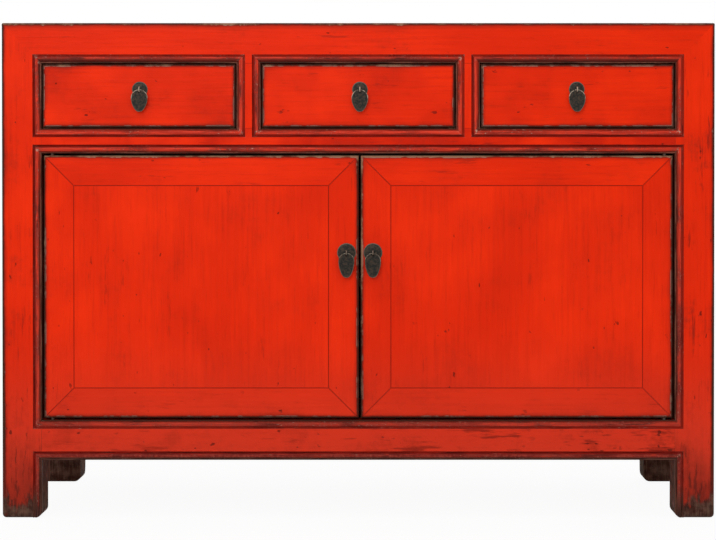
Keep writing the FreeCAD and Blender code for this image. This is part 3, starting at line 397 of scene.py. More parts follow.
# Top frame: four members of the same elm, 71 mm deep, mitred to each other and to the legs, with the
# outer arris rounded over. A thin flush panel is tongued in between them and lacquered with the frame.
for place, near, inward in (("front", front, 1), ("back", back, -1)):
    member = plank(f"top_rail_{place}_member",
                   (-leg_outer, near, top_low), (leg_outer, near + inward * leg_depth, top))
    ease(member, arris, 4, lambda edge: lies(edge, y=near, z=top))
    for side in (-1, 1):
        corner = (side * leg_outer, near, top)
        saw(member, corner, (side * slope_x, inward * slope_y, 0))
        saw(member, corner, (side * slope_x, 0, -slope_z))
    cut_away(member, rebate)
    fitted(member, "carcass", "red_lacquer", lacquer(
        f"top_rail_{place}_lacquer", (-leg_outer, min(near, 0), 0), (leg_outer, max(near, 0), top), 0,
        wear=0.0030, soft=0.013, tan=0.05, pale=0.2, deep=0.1, bare=shell), f"top_rail_{place}")

for hand, side in hands.items():
    outer = side * leg_outer
    member = plank(f"top_rail_{hand}_member", (outer, front, top_low), (side * leg_inner, back, top))
    ease(member, arris, 4, lambda edge: lies(edge, x=outer, z=top))
    for near, inward in ((front, 1), (back, -1)):
        saw(member, (outer, near, top), (-side * slope_x, -inward * slope_y, 0))
        saw(member, (outer, near, top), (0, -inward * slope_y, -slope_z))
    cut_away(member, rebate)
    fitted(member, "carcass", "red_lacquer", lacquer(
        f"top_rail_{hand}_lacquer", (min(outer, 0), front, 0), (max(outer, 0), back, top), 1,
        wear=0.0030, soft=0.013, tan=0.05, pale=0.2, deep=0.1, bare=shell), f"top_rail_{hand}")

panel_play, panel_low, panel_bare_z = 0.0004, 0.868, 0.8800
panel = plank("top_panel_board", (panel_play - leg_inner, end_front + panel_play, panel_low),
              (leg_inner - panel_play, end_back - panel_play, top))
ease(panel, 0.0005, 2, lambda edge: lies(edge, z=top))
fitted(panel, "carcass", "red_lacquer", lacquer(
    "top_panel_lacquer", (-1, -1, 0), (1, 1, 2), 0,
    joint=lambda x, y, z: (leg_inner - panel_play / 2 - abs(x)).least(
        end_half - panel_play / 2 - abs(y - end_middle)),
    bare=lambda x, y, z: (panel_bare_z - z).fade(-0.0006, 0.0006)), "top_panel")


# Rails and uprights of the front and ends: plain sticks of elm under red lacquer, tenoned between the legs.
# All of them carry rebates for the bead frames.
rail_rear, end_rear = -0.16435, 0.605
mid = plank("mid_rail_front_member", (-leg_inner, front, mid_low), (leg_inner, rail_rear, mid_high))
cut_away(mid, rebate)
fitted(mid, "carcass", "red_lacquer", lacquer(
    "mid_rail_lacquer", (-1, -1, 0), (1, 1, 2), 0, deep=1.4, dirt=0.5, bare=shell), "mid_rail_front")

low_rail = plank("bottom_rail_front_member", (-leg_inner, front, low_low), (leg_inner, rail_rear, low_high))
cut_away(low_rail, rebate)
fitted(low_rail, "carcass", "red_lacquer", lacquer(
    "bottom_rail_lacquer", (-1, -1, 0), (1, 1, 2), 0, dirt=lambda x: 0.40 + x.fade(-0.10, 0.25) * 0.45,
    bare=shell), "bottom_rail_front")

for hand, side in hands.items():
    end_rail = plank(f"bottom_rail_{hand}_member",
                     (side * end_rear, end_front, low_low), (side * leg_outer, end_back, low_high))
    cut_away(end_rail, rebate)
    fitted(end_rail, "carcass", "red_lacquer", lacquer(
        f"bottom_rail_{hand}_lacquer", (-1, -1, 0), (1, 1, 2), 1,
        joint=lambda x, y, z: end_half - abs(y - end_middle),
        bare=lambda x, y, z: (end_rear + 0.001 - abs(x)).most(
            (end_inside - abs(x)).least(z - (low_high - 0.0005))).fade(-0.0004, 0.0004)), f"bottom_rail_{hand}")
    upright = plank(f"divider_{hand}_upright",
                    (side * upright_near, front, mid_high), (side * upright_far, rail_rear, top_low))
    cut_away(upright, rebate)
    fitted(upright, "carcass", "red_lacquer", lacquer(
        f"divider_{hand}_lacquer", (-1, -1, 0), (1, 1, 2), 2,
        joint=lambda x, y, z: (top_low - mid_high) / 2 - abs(z - (top_low + mid_high) / 2),
        bare=shell), f"divider_{hand}")

bpy.data.objects.remove(rebate)


# Bead frames: a half-round bead with a groove outside it, scraped along the edge of every opening and
# mitred at the corners. Knocks and polishing have worn the lacquer off the beads in streaks. Shade is
# painted dark into the groove and the quirk and beside the bead's inner side, and the beads below an
# opening are painted lighter, as lit from above.
def bead_lacquer(name, low, high, out, feet):
    """Lacquer of one bead frame, told off by the distance from the opening's edge. Shade is painted into
    the groove, the quirk, beside the bead's inner side and on the lower half of the beads over the drawers;
    the beads below an opening are painted lighter, as lit from above.
    """
    finish, shader, spot = blank_finish(name)
    x, y, z = spot.axes()
    across, run = (x, 0) if out.y else (y, 1)
    beside = abs(across - (low[run] + high[run]) / 2) - (high[run] - low[run]) / 2
    above = abs(z - (low.z + high.z) / 2) - (high.z - low.z) / 2
    from_edge = beside.most(above)
    standing = (beside - above).fade(-0.0002, 0.0002)
    under = (1 - standing) * ((low.z + high.z) / 2 - z).fade(-0.01, 0.01)
    drawer = 1.0 if low.z > mid_low else 0.0
    lintel = (1 - standing - under) * drawer

    def along_run(scale, detail, rough, share, shift):
        level = spot.cloud(scale, detail, rough, drawn_out(run, share), shift)
        upright = spot.cloud(scale, detail, rough, drawn_out(2, share), shift)
        return level + standing * (upright - level)

    streak = along_run(420, 4, 0.6, 0.05, (0.4, 0.2, 0.7))
    smear = along_run(120, 4, 0.6, 0.10, (2.4, 1.2, 0.1))
    fleck = along_run(520, 3, 0.6, 0.30, (1.1, 3.2, 2.7))
    patch = spot.cloud(13, 2, 0.5, (1, 1, 1), (0.5, 2.2, 1.4))
    low_down = z.fade(0.78, 0.02)
    bright_red, streak_red, dull_red = shade(216, 58, 34), shade(172, 36, 16), shade(150, 46, 32)
    gouge_brown, slope_shade_brown, lintel_shade_brown = shade(64, 17, 10), shade(84, 30, 18), shade(70, 20, 11)
    chalk, groove_shade_dark, groove_shade_red = shade(206, 152, 132), shade(92, 9, 3), shade(146, 24, 10)
    worn_dark, worn_light, quirk_shade_red, quirk_shade_brown = (
        shade(78, 14, 10), shade(146, 58, 46), shade(104, 24, 10), shade(54, 26, 15))
    lip_dark, lip_light, soot_dark, soot_light = (
        shade(50, 28, 18), shade(120, 74, 58), shade(50, 28, 22), shade(92, 58, 46))
    body = streak.fade(0.40, 0.62).between(bright_red, streak_red)
    body = body.over(low_down * 0.55, dull_red)
    mottle = spot.cloud(210, 4, 0.66, drawn_out(2, 0.7), (0.9, 0.1, 3.3))
    worn = (smear * 0.4 + mottle * 0.35 + streak * 0.25 + (patch - 0.5) * 0.40 - standing * 0.015)
    rubbed = (worn + (0.12 if feet else low_down * 0.05 - 0.02)).fade(0.44, 0.56)
    ground = (streak * 0.5 + mottle * 0.5).fade(0.42, 0.62).between(worn_dark, worn_light)
    # the beads below an opening are painted less worn and redder, as lit from above
    body = body.over(rubbed * (0.82 - (0.25 + 0.25 * drawer) * under), ground)
    gouge = along_run(85, 4, 0.62, 0.14, (3.3, 0.7, 1.8))
    gouges = (gouge + (patch - 0.5) * 0.35).fade(0.57, 0.64)
    # fewer dark gouges on the drawers' beads below the opening, painted lighter as lit from above
    body = body.over(gouges * (0.62 - 0.3 * drawer * under), gouge_brown)
    flecks = fleck.fade(0.60, 0.68) * (mottle + (patch - 0.5) * 0.6 + smear * 0.3).fade(0.62, 0.76)
    chips = abs(beside - above).fade(0.009, 0.002) * (fleck * 0.6 + mottle * 0.4).fade(0.50, 0.58)
    flecks = flecks.most(chips * (patch + 0.1).fade(0.46, 0.60))
    body = body.over(flecks * 0.85, chalk)
    wander = (streak - 0.5) * 0.0018 + (smear - 0.5) * 0.0030 + (mottle - 0.5) * 0.0016
    # painted shade in the groove, broken by smears, lighter where lit: over drawers, under doors, right
    # uprights
    groove_shade = (from_edge + wander).fade(0.0086, 0.0112) * (from_edge - wander).fade(0.0162, 0.0150)
    lit_right_hand = standing * (across - (low[run] + high[run]) / 2).fade(-0.01, 0.01)
    thin = 0.4 * lintel + 0.4 * (1 - drawer) * under + 0.3 * lit_right_hand
    body = body.over(groove_shade * (0.92 - 1.2 * (smear - 0.50 + (patch - 0.5) * 0.6).most(0)) * (1 - thin),
                     streak.fade(0.40, 0.64).between(groove_shade_dark, groove_shade_red))
    # painted shade in the quirk between bead and fillet, browner in smears, lighter on the beads below it
    quirk_shade = (from_edge + wander).fade(0.0018, 0.0027) * (from_edge - wander).fade(0.0052, 0.0042)
    # painted shade on the bead's inner side as it falls to the opening, lighter on the beads below it
    slope_shade = (from_edge + wander).fade(0.0072, 0.0016)
    body = body.over(slope_shade * (0.55 - 0.3 * under), slope_shade_brown)
    quirk_shade_tone = (smear + (patch - 0.5) * 0.5 + 0.06).fade(0.44, 0.60).between(quirk_shade_red, quirk_shade_brown)
    body = body.over(quirk_shade * (0.42 - 0.3 * under), quirk_shade_tone)
    # painted shade on the lower half of the beads over the drawers, the half that faces down
    body = body.over(lintel * (from_edge + wander).fade(0.0096, 0.0066) * 0.78, lintel_shade_brown)
    lip = (from_edge + wander).fade(0.0024, 0.0017)
    # the lip is painted darker below an opening, as the shade under the door or drawer front
    chafed = smear * 0.7 + fleck * 0.3 + (patch - 0.5) * 0.4 - under * 0.16
    body = body.over(lip * 0.9, chafed.fade(0.42, 0.64).between(lip_dark, lip_light))
    if feet:
        soot = (z - (streak - 0.36) * 0.12).fade(0.050, 0.0).most(from_edge.fade(0.0050, 0.0040) * 0.85)
        body = body.over(soot, streak.fade(0.4, 0.6).between(soot_dark, soot_light))
    shader.inputs["Specular IOR Level"].default_value = 0.10
    rough = 0.36 + rubbed * 0.16 + lip * 0.2
    height = streak * 0.5 + smear * 0.7 - flecks * 0.6 - rubbed * 0.3
    connect(shader, body, rough, height, 0.0007)
    return finish


groove = ((0.5, -0.4), (1.1, -2.0), (0.9, -0.5), (0.7, 0.3), (0.9, 1.5), (0.5, 0.5))
crown = ((0.7, 0.35), (1.0, 0.2), (1.5, 0.05), (1.5, -0.05), (1.0, -0.2), (0.7, -0.35))
quirk = ((0.4, -0.5), (0.5, -1.1), (0.6, -0.1), (0.5, 0.8), (0.5, 0.4))
fillet = ((1.1, 0.0), (0.5, -0.3), (0.4, -0.8))
bead_steps = groove + crown + quirk + fillet
seat, waste_x = 0.0002 - rebate_depth, 0.5555
for name, (low, high, out) in openings.items():
    low, high, out = Vector(low), Vector(high), Vector(out)
    bpy.ops.object.select_all(action="DESELECT")
    bpy.ops.mesh.primitive_plane_add(
        size=1, location=(low + high) / 2, rotation=(pi / 2, 0, atan2(out.x, -out.y)))
    bead = bpy.context.object
    bead.name = bead.data.name = "bead_" + name
    bead.scale = ((high - low).xy.length + 2 * ring_width, high.z - low.z + 2 * ring_width, 1)
    bpy.ops.object.transform_apply(location=True, rotation=True, scale=True)
    bpy.ops.object.mode_set(mode="EDIT")
    bpy.ops.mesh.select_all(action="SELECT")
    for width, rise in bead_steps:
        bpy.ops.mesh.inset(thickness=width / 1000, depth=rise / 1000, use_boundary=True, use_even_offset=True)
    sunk = -sum(rise for width, rise in bead_steps) / 1000
    bpy.ops.mesh.extrude_region_move(TRANSFORM_OT_translate={"value": out * (sunk + seat)})
    bpy.ops.mesh.delete(type="ONLY_FACE")
    bpy.ops.object.mode_set(mode="OBJECT")
    face = out.dot(low)
    pick(bead, "EDGE", lambda edge: edge.is_boundary and all(
        abs(out.dot(vert.co) - face) < 1e-5 for vert in edge.verts))
    bpy.ops.mesh.extrude_edges_move(TRANSFORM_OT_translate={"value": out * seat})
    bpy.ops.object.mode_set(mode="OBJECT")
    pick(bead, "EDGE", lambda edge: edge.is_boundary)
    bpy.ops.mesh.bridge_edge_loops()
    bpy.ops.mesh.select_all(action="SELECT")
    bpy.ops.mesh.normals_make_consistent(inside=False)
    bpy.ops.object.mode_set(mode="OBJECT")
    if name.startswith("feet"):
        saw(bead, (0, 0, 0), (0, 0, -1))
    if name == "feet_front":
        for side in (-1, 1):
            centre_x = side * (leg_inner + foot_round)
            waste = plank("waste", (centre_x, front - 0.01, -0.01), (side * waste_x, front + 0.02, foot_round))
            bpy.ops.object.select_all(action="DESELECT")
            bpy.ops.mesh.primitive_cylinder_add(
                vertices=64, radius=foot_round, depth=0.1, location=(centre_x, front, foot_round),
                rotation=(pi / 2, 0, 0))
            bpy.ops.object.transform_apply(location=True, rotation=True, scale=True)
            kept = bpy.context.object
            cut_away(waste, kept)
            cut_away(bead, waste)
            bpy.data.objects.remove(kept)
            bpy.data.objects.remove(waste)
    fitted(bead, "carcass", "red_lacquer", bead_lacquer(
        f"bead_{name}_lacquer", low, high, out, name.startswith("feet")))


# End panels, back and inside boards: thin boards let into grooves. The end panels are lacquered outside;
# the back, floor, shelf, cleats, runners, stops and battens are bare poplar, turned brown by age and dust. A
# lip under the middle rail stops the doors; its wood is painted near-black as the shade in the gap above them.
def bare_wood(name, along, light, dark, dust=0.25):
    """Unfinished plank: grain along one axis, a few dark pores and knots, dust in patches."""
    finish, shader, spot = blank_finish(name)
    sway = spot.cloud(5, 2, 0.5, drawn_out(along, 0.3))
    rings = spot.cloud(46, 3, 0.5, drawn_out(along, 0.03), (0.3, 0.8, 1.4))
    streak = spot.cloud(260, 4, 0.62, drawn_out(along, 0.03))
    pore = spot.cloud(900, 2, 0.5, drawn_out(along, 0.02), (2.0, 1.0, 0.5))
    patch = spot.cloud(7, 3, 0.55, (1, 1, 1), (1.3, 0.2, 2.8))
    body = (rings * 0.55 + streak * 0.30 + sway * 0.15).fade(0.38, 0.62).between(light, dark)
    pore_brown, dust_grey, stain_brown = shade(58, 38, 26), shade(96, 76, 60), shade(66, 42, 30)
    body = body.over(pore.fade(0.60, 0.72) * 0.40, pore_brown)
    body = body.over(patch.fade(0.46, 0.66) * dust, dust_grey)
    stain = spot.cloud(3.2, 3, 0.6, (1, 1, 1), (6.3, 4.2, 0.8)).fade(0.56, 0.66)
    body = body.over(stain * 0.30, stain_brown)
    shader.inputs["Specular IOR Level"].default_value = 0.25
    rough = 0.66 + (streak - 0.5) * 0.2 + patch * 0.08
    connect(shader, body, rough, streak * 0.6 + pore * 0.3 + rings * 0.4, 0.0008)
    return finish


for hand in hands:
    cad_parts[f"side_panel_{hand}"].material_slots[0].material = lacquer(
        f"side_panel_{hand}_lacquer", (-1, -1, 0), (1, 1, 2), 2,
        joint=lambda x, y, z: (end_half - abs(y - end_middle)).least(
            (top_low - low_high) / 2 - abs(z - (top_low + low_high) / 2)) * 0.4,
        bare=lambda x, y, z: (end_inside - abs(x)).fade(-0.0004, 0.0004))

# the lip's near-black wood is painted shade: it stands in for the darkness seen in the gap over the doors
lip_half, lip_front, lip_low = 0.5185, -0.17035, 0.640
lip = plank("door_lip", (-lip_half, lip_front, lip_low), (lip_half, rail_rear, mid_low + 0.001))
ease(lip, 0.0015, 2, lambda edge: lies(edge, z=lip_low))
fitted(lip, "carcass", "bare_wood", bare_wood(
    "door_lip_shade_wood", 0, shade(46, 26, 18), shade(28, 16, 11), dust=0.05))

pale_board, brown_board = shade(152, 112, 76), shade(108, 74, 48)
inside_x = bare_wood("inside_boards_lengthwise", 0, pale_board, brown_board)
inside_y = bare_wood("inside_boards_front_to_back", 1, pale_board, brown_board)
back_x = bare_wood("back_boards", 0, shade(122, 86, 58), shade(82, 54, 36), dust=0.4)
for name in ("floor_board", "shelf_board", "drawer_stops"):
    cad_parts[name].material_slots[0].material = inside_x
for name in ("shelf_cleats", "drawer_runners", "panel_battens"):
    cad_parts[name].material_slots[0].material = inside_y
for name in ("back_panel_upper", "back_panel_lower", "bottom_rail_back", "mid_rail_back"):
    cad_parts[name].material_slots[0].material = back_x


# Drawers: a lacquered front with worn round arrises over a bare box of sides, back and bottom. The front
# is one board with its grain level, and its back is left bare like the box.
drawer_box = {
    part: bare_wood(f"drawer_{part}_wood", along, shade(168, 128, 90), shade(124, 88, 58), dust=0.15)
    for part, along in (("sides", 1), ("back", 0), ("bottom", 0))}
drawer_bare_y = -0.1760
for drawer in ("left", "middle", "right"):
    low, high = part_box(f"drawer_{drawer}_front")
    board = plank(f"drawer_{drawer}_face", low, high)
    ease(board, 0.0032, 5, lambda edge: lies(edge, y=low.y))
    fitted(board, f"{drawer}_drawer", "red_lacquer", lacquer(
        f"drawer_{drawer}_lacquer", low, (high.x, 1, high.z), 0, wear=0.0024, tan=-0.1, pale=0.6, deep=0.6,
        bare=lambda x, y, z: (y - drawer_bare_y).fade(-0.0006, 0.0006)), f"drawer_{drawer}_front")
    for part, finish in drawer_box.items():
        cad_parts[f"drawer_{drawer}_{part}"].material_slots[0].material = finish


# Doors: a frame of two stiles and two rails, 53 mm wide, mitred at the corners, with a flush panel tongued
# in and two battens dovetailed across its back. Iron pins at the outer corners turn in the rails.
def worn_iron(name):
    """Old iron, brown with rust and rubbed grey where it turns."""
    finish, shader, spot = blank_finish(name)
    rust = spot.cloud(240, 4, 0.6)
    grit = spot.cloud(1400, 3, 0.6)
    iron_grey, rust_brown = shade(84, 76, 70), shade(92, 56, 38)
    body = rust.fade(0.42, 0.60).between(iron_grey, rust_brown)
    shader.inputs["Metallic"].default_value = 0.7
    connect(shader, body, 0.42 + rust * 0.3, rust * 0.6 + grit * 0.4, 0.0002)
    return finish


iron = worn_iron("pivot_iron")
low_z, high_z, face_y, rear_y, field_rear_y = 0.178, 0.646, -0.19285, -0.17085, -0.17885
wide, crack, field_play, meeting_x, door_arris = 0.0535, 0.00012, 0.0002, 0.0026, 0.0030
edge_bare_y, field_bare_y = -0.1805, -0.1810
for hand, left, right in (("left", -0.5605, 0.0006), ("right", 0.0046, 0.5605)):

    def past_panel(x, z):
        """How far a place lies past the panel's edges, across and up."""
        return (abs(x - (left + right) / 2) - ((right - left) / 2 - wide),
                abs(z - (low_z + high_z) / 2) - ((high_z - low_z) / 2 - wide))

    def door_joint(x, y, z):
        """Distance to the nearest joint between stiles, rails and panel."""
        beside, above = past_panel(x, z)
        mitre = abs(beside - above) * 0.7 + beside.least(above).fade(0.0, -0.002)
        return abs(beside.most(above)).least(mitre)

    def door_back(x, y, z):
        """Mask of the door's bare back and of the frame's inner edges behind the panel."""
        beside, above = past_panel(x, z)
        behind = beside.most(above).fade(0.0008, 0.0004) * (y - edge_bare_y).fade(-0.0006, 0.0006)
        return (y - rear_y + 0.003).fade(-0.0006, 0.0006).most(behind)

    stiles, rails = [], []
    for edge_x, turn in ((left, 1), (right, -1)):
        stile = plank("stile", (edge_x, face_y, low_z), (edge_x + turn * wide, rear_y, high_z))
        ease(stile, door_arris, 4, lambda edge: lies(edge, x=edge_x, y=face_y))
        for edge_z, rise in ((low_z, 1), (high_z, -1)):
            saw(stile, (edge_x, face_y, edge_z + rise * crack), (turn, 0, -rise))
        stiles.append(stile)
    for edge_z, rise in ((low_z, 1), (high_z, -1)):
        rail = plank("rail", (left, face_y, edge_z), (right, rear_y, edge_z + rise * wide))
        ease(rail, door_arris, 4, lambda edge: lies(edge, z=edge_z, y=face_y))
        for edge_x, turn in ((left, 1), (right, -1)):
            saw(rail, (edge_x, face_y, edge_z - rise * crack), (-turn, 0, rise))
        rails.append(rail)
    worn_box = ((left, face_y, low_z), (right, 1, high_z))
    stiles, rails = join(stiles), join(rails)
    stiles.name = stiles.data.name = f"door_{hand}_uprights"
    rails.name = rails.data.name = f"door_{hand}_levels"
    # the rubbed mask gives the right door's meeting edge a painted highlight: its bare wood painted tan, as lit
    fitted(stiles, f"{hand}_door", "red_lacquer", lacquer(
        f"door_{hand}_stile_lacquer", *worn_box, 2, wear=0.0024, tan=0.35, deep=0.4, dirt=0.2, joint=door_joint,
        bare=door_back, rubbed=lambda x, y, z: (
            (meeting_x + 0.012 - x).least(x - meeting_x).fade(-0.001, 0.001) * z.fade(0.26, 0.42))),
        f"door_{hand}_stiles")
    fitted(rails, f"{hand}_door", "red_lacquer", lacquer(
        f"door_{hand}_rail_lacquer", *worn_box, 0, wear=0.0024, tan=0.5, dirt=0.25, joint=door_joint,
        bare=door_back), f"door_{hand}_rails")
    inset = wide + field_play
    panel = plank(f"door_{hand}_field", (left + inset, face_y, low_z + inset),
                  (right - inset, field_rear_y, high_z - inset))
    ease(panel, 0.0004, 2, lambda edge: lies(edge, y=face_y))
    fitted(panel, f"{hand}_door", "red_lacquer", lacquer(
        f"door_{hand}_panel_lacquer", (-1, -1, 0), (1, 1, 2), 2, dirt=0.18, joint=door_joint,
        bare=lambda x, y, z: (y - field_bare_y).fade(-0.0006, 0.0006)), f"door_{hand}_panel")
    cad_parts[f"door_{hand}_battens"].material_slots[0].material = drawer_box["back"]
    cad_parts[f"door_{hand}_pivot_pins"].material_slots[0].material = iron


# Pulls: cast and filed bronze gone nearly black. A domed round plate is held by a split pin whose wire eye
# stands proud, and a flat leaf with a raised rim hangs in the eye and swings on it.
def old_bronze(name, middle, radius, hangs, shine):
    """Dark bronze with green in its hollows; rims painted lighter, as worn metal and as a painted highlight,
    and the eye's front and the leaf's top shoulder painted bright, rubbed by fingers and as a painted
    highlight.
    """
    finish, shader, spot = blank_finish(name)
    x, y, z = spot.axes()
    cast = spot.cloud(300, 4, 0.6)
    grit = spot.cloud(1500, 3, 0.6)
    bronze, soot, verdigris = shade(58, 46, 36), shade(24, 24, 22), shade(36, 52, 40)
    rim_wear_highlight, finger_worn_highlight = shade(112, 106, 92), shade(176, 158, 138)
    body = cast.fade(0.36, 0.62).between(bronze, soot)
    body = body.over(grit.fade(0.54, 0.70) * 0.4, verdigris)
    across, up = x - middle.x, z - middle.z
    reach = across.sum("SQRT", across * across + up * up)
    if hangs:
        rubbed = (reach + (cast - 0.5) * 0.0016).fade(radius - 0.0016, radius - 0.0004)
        rubbed = rubbed * up.fade(-0.003, 0.002) * cast.fade(0.36, 0.56)
        rim = (middle.y - y).fade(0.00055, 0.00075) * cast.fade(0.30, 0.60)
    else:
        rubbed = (middle.y - y + (cast - 0.5) * 0.002).fade(0.0, 0.002)
        rim = (reach + (cast - 0.5) * 0.0012).fade(radius - 0.0018, radius - 0.0008)
    # rims painted lighter: worn metal and a painted highlight
    body = body.over(rim * 0.45, rim_wear_highlight)
    # painted highlight, partly finger wear: the eye's front and the leaf's top shoulder painted bright
    body = body.over(rubbed * shine, finger_worn_highlight)
    shader.inputs["Metallic"].default_value = 0.55
    shader.inputs["Specular IOR Level"].default_value = 0.3
    connect(shader, body, 0.46 + (cast - 0.5) * 0.3 - rubbed * 0.12, cast * 0.7 + grit * 0.3, 0.00035)
    return finish


eye_out = 0.0078


def plate_and_eye(name, spot, radius, behind):
    """Domed plate, split pin eye, shank and spread prongs."""
    thick, rim_in, rim_up, flat_in, dome_rise = 0.0009, 0.0004, 0.0003, 0.0009, 0.0014
    ring, wire, shank_half, shank_from = 0.0038, 0.0012, 0.0018, 0.0047
    prong_half, prong_long, prong_gap, prong_front, prong_rear = 0.0012, 0.013, 0.0001, 0.0006, 0.0017
    bpy.ops.object.select_all(action="DESELECT")
    bpy.ops.mesh.primitive_cylinder_add(vertices=72, radius=radius, depth=thick,
                                        location=(spot.x, spot.y - thick / 2, spot.z), rotation=(pi / 2, 0, 0))
    bpy.ops.object.transform_apply(location=True, rotation=True, scale=True)
    plate = bpy.context.object
    plate.name = plate.data.name = name
    pick(plate, "FACE", lambda face: len(face.verts) > 8 and face.normal.y < -0.9)
    bpy.ops.mesh.inset(thickness=rim_in, depth=rim_up)
    bpy.ops.mesh.inset(thickness=flat_in, depth=0.0)
    dome = radius - (rim_in + flat_in)
    reached, height = dome, 0.0
    for share in (0.94, 0.84, 0.70, 0.54, 0.38, 0.22, 0.10):
        rise = dome_rise * (1 - share * share)
        bpy.ops.mesh.inset(thickness=reached - dome * share, depth=rise - height)
        reached, height = dome * share, rise
    bpy.ops.mesh.poke()
    bpy.ops.object.mode_set(mode="OBJECT")

    eye_y = spot.y - eye_out
    bpy.ops.object.select_all(action="DESELECT")
    bpy.ops.mesh.primitive_torus_add(
        major_radius=ring, minor_radius=wire, major_segments=40, minor_segments=16,
        location=(spot.x, eye_y, spot.z), rotation=(0, pi / 2, 0))
    bpy.ops.object.transform_apply(location=True, rotation=True, scale=True)
    eye = bpy.context.object
    shank = plank("shank", (spot.x - shank_half, eye_y + shank_from, spot.z - shank_half),
                  (spot.x + shank_half, behind, spot.z + shank_half))
    ease(shank, 0.0010, 3, lambda edge: abs(edge.verts[0].co.y - edge.verts[1].co.y) > 0.005)
    prongs = []
    for rise in (-1, 1):
        prong = plank("prong", (spot.x - prong_half, behind - prong_front, spot.z + rise * prong_gap),
                      (spot.x + prong_half, behind + prong_rear, spot.z + rise * prong_long))
        pick(prong, "FACE", lambda face: face.normal.z * rise > 0.9)
        bpy.ops.transform.resize(value=(0.35, 0.55, 1))
        bpy.ops.object.mode_set(mode="OBJECT")
        ease(prong, 0.0005, 2, lambda edge: True)
        prongs.append(prong)
    return join([plate, eye, shank] + prongs)


def leaf(name, spot, width, length, tip):
    """Flat leaf: half-round shoulders, sides swept to a rounded tip, raised rim, and the hole it hangs by."""
    half, thick, eye_y = width / 2, 0.0016, spot.y - eye_out
    top_down, hole_down, hole_radius = 0.00035, 0.00455, 0.0022
    rim_wide, rim_slope, rim_deep, soft_edge = 0.0010, 0.0005, 0.0003, 0.0003
    centre_z = spot.z - top_down - half
    sweep = (half * half + (length - half) ** 2) / (2 * half)
    tip_down = sqrt((sweep - tip) ** 2 - (sweep - half) ** 2)
    bpy.ops.object.select_all(action="DESELECT")
    bpy.ops.mesh.primitive_cylinder_add(vertices=96, radius=half, depth=thick,
                                        location=(spot.x, eye_y, centre_z), rotation=(pi / 2, 0, 0))
    bpy.ops.object.transform_apply(location=True, rotation=True, scale=True)
    drop = bpy.context.object
    drop.name = drop.data.name = name
    rows = sorted({round(vert.co.z, 6) for vert in drop.data.vertices if vert.co.z < centre_z - 1e-5})
    for row in rows:
        share = min((centre_z - row) / half, 1)
        down = (tip_down + tip) * share
        was = half * sqrt(1 - share * share)
        if down < tip_down * sweep / (sweep - tip):
            now = half - sweep + sqrt(sweep * sweep - down * down)
        else:
            now = sqrt(max(tip * tip - (down - tip_down) ** 2, 0))
        pick(drop, "VERT", lambda vert: abs(vert.co.z - row) < 2e-6)
        if was > 1e-5:
            bpy.ops.transform.resize(value=(now / was, 1, 1), center_override=(spot.x, eye_y, row))
        bpy.ops.transform.translate(value=(0, 0, centre_z - down - row))
        bpy.ops.object.mode_set(mode="OBJECT")
    pick(drop, "FACE", lambda face: len(face.verts) > 8 and face.normal.y < -0.9)
    bpy.ops.mesh.inset(thickness=rim_wide, depth=0.0)
    bpy.ops.mesh.inset(thickness=rim_slope, depth=-rim_deep)
    bpy.ops.object.mode_set(mode="OBJECT")
    ease(drop, soft_edge, 2, lambda edge: len(edge.link_faces) == 2 and edge.calc_face_angle(0) > radians(60)
         and all(abs(abs(vert.co.y - eye_y) - thick / 2) < 1e-6 for vert in edge.verts))
    bpy.ops.object.select_all(action="DESELECT")
    bpy.ops.mesh.primitive_cylinder_add(vertices=40, radius=hole_radius, depth=0.01,
                                        location=(spot.x, eye_y, spot.z - hole_down), rotation=(pi / 2, 0, 0))
    bpy.ops.object.transform_apply(location=True, rotation=True, scale=True)
    drill = bpy.context.object
    cut_away(drop, drill)
    bpy.data.objects.remove(drill)
    return drop, Vector((spot.x, eye_y, centre_z))


# height of the pin, radius of the plate, width, length and tip radius of the leaf, thickness of the wood,
# strength of the painted highlight (shine)
drawer_pull = (0.7635, 0.0139, 0.0295, 0.0428, 0.009, 0.0200, 0.8)
door_pull = (0.473, 0.01675, 0.0285, 0.0504, 0.009, 0.0220, 0.3)
for owner, body, x, sizes in (
        ("drawer_left", "left_drawer", -0.38882, drawer_pull),
        ("drawer_middle", "middle_drawer", 0.003, drawer_pull),
        ("drawer_right", "right_drawer", 0.38902, drawer_pull),
        ("door_left", "left_door", -0.0209, door_pull),
        ("door_right", "right_door", 0.0261, door_pull)):
    z, plate_radius, drop_width, drop_length, tip_radius, wood, shine = sizes
    spot = Vector((x, face_y, z))
    plate = plate_and_eye(f"{owner}_plate_and_eye", spot, plate_radius, spot.y + wood + 0.0008)
    fitted(plate, body, "bronze", old_bronze(
        f"{owner}_plate_bronze", spot - Vector((0, 0.0062, 0)), plate_radius, False, shine),
        f"{owner}_pull_plate")
    drop, middle = leaf(f"{owner}_leaf", spot, drop_width, drop_length, tip_radius)
    fitted(drop, body + "_drop", "bronze", old_bronze(
        f"{owner}_leaf_bronze", middle, drop_width / 2, True, shine), f"{owner}_drop")


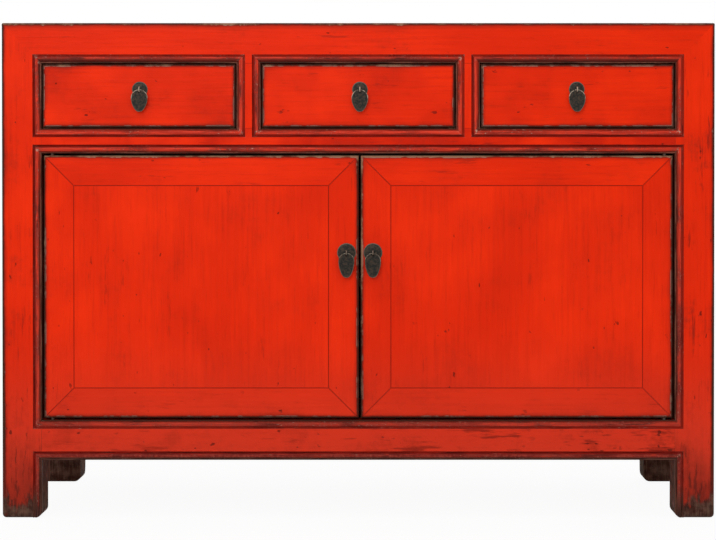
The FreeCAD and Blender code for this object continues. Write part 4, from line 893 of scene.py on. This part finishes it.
# Studio: a pale floor that keeps the shadow, an even white surround, and soft lamps in front, above and
# behind. The camera looks nearly square at the front, from a little to the right, its lens shifted down.
bpy.ops.object.select_all(action="DESELECT")
bpy.ops.mesh.primitive_plane_add(size=14, location=(0, 0, -0.0005))
floor = bpy.context.object
floor.name = "floor"
pale = bpy.data.materials.new("pale_floor")
pale.use_nodes = True


def seen_white(tree):
    """1 for rays that see the surround itself, straight, mirrored or through glass."""
    ray = Tone(tree)
    return ray.node("LightPath", out=0).most(ray.node("LightPath", out=3)).most(ray.node("LightPath", out=6))


floor_white, white_share, sky_fill = (0.86, 0.86, 0.86, 1), 0.94, 0.60
matt = Tone(pale.node_tree).node("BsdfDiffuse", sockets={0: floor_white})
glow = Tone(pale.node_tree).node("Emission", sockets={0: (1, 1, 1, 1), 1: 1.0})
both = matt.node("MixShader", sockets={0: seen_white(pale.node_tree) * white_share, 1: matt, 2: glow})
pale.node_tree.links.new(both.socket, pale.node_tree.nodes["Material Output"].inputs[0])
floor.data.materials.append(pale)

surround = bpy.data.worlds.new("surround")
bpy.context.scene.world = surround
surround.use_nodes = True
sky = surround.node_tree.nodes["Background"]
sky.inputs["Color"].default_value = (1, 1, 1, 1)
level = sky_fill + seen_white(surround.node_tree) * (1 - sky_fill)
surround.node_tree.links.new(level.socket, sky.inputs["Strength"])

for name, place, size, power in (
        ("lamp_front", (-1.0, -3.8, 2.5), 2.4, 54), ("lamp_above", (0.3, -0.6, 3.4), 2.6, 30),
        ("lamp_back", (1.2, 3.4, 2.2), 2.4, 60)):
    aim = (Vector((0, 0, 0.45)) - Vector(place)).to_track_quat("-Z", "Y").to_euler()
    bpy.ops.object.light_add(type="AREA", location=place, rotation=aim)
    lamp = bpy.context.object
    lamp.name = name
    lamp.data.size = size
    lamp.data.energy = power

to_right, away, eye_height, tilt = 0.06, 2.8, 0.5877, 0.5
bpy.ops.object.camera_add(location=(to_right, front - away, eye_height), rotation=(radians(90 - tilt), 0, 0))
camera = bpy.context.object
camera.name = "camera"
camera.data.lens = 79.06
camera.data.shift_x = -0.0474
camera.data.shift_y = -0.0950
camera.data.clip_end = 100
bpy.context.scene.camera = camera
bpy.context.scene.view_settings.view_transform = "Standard"
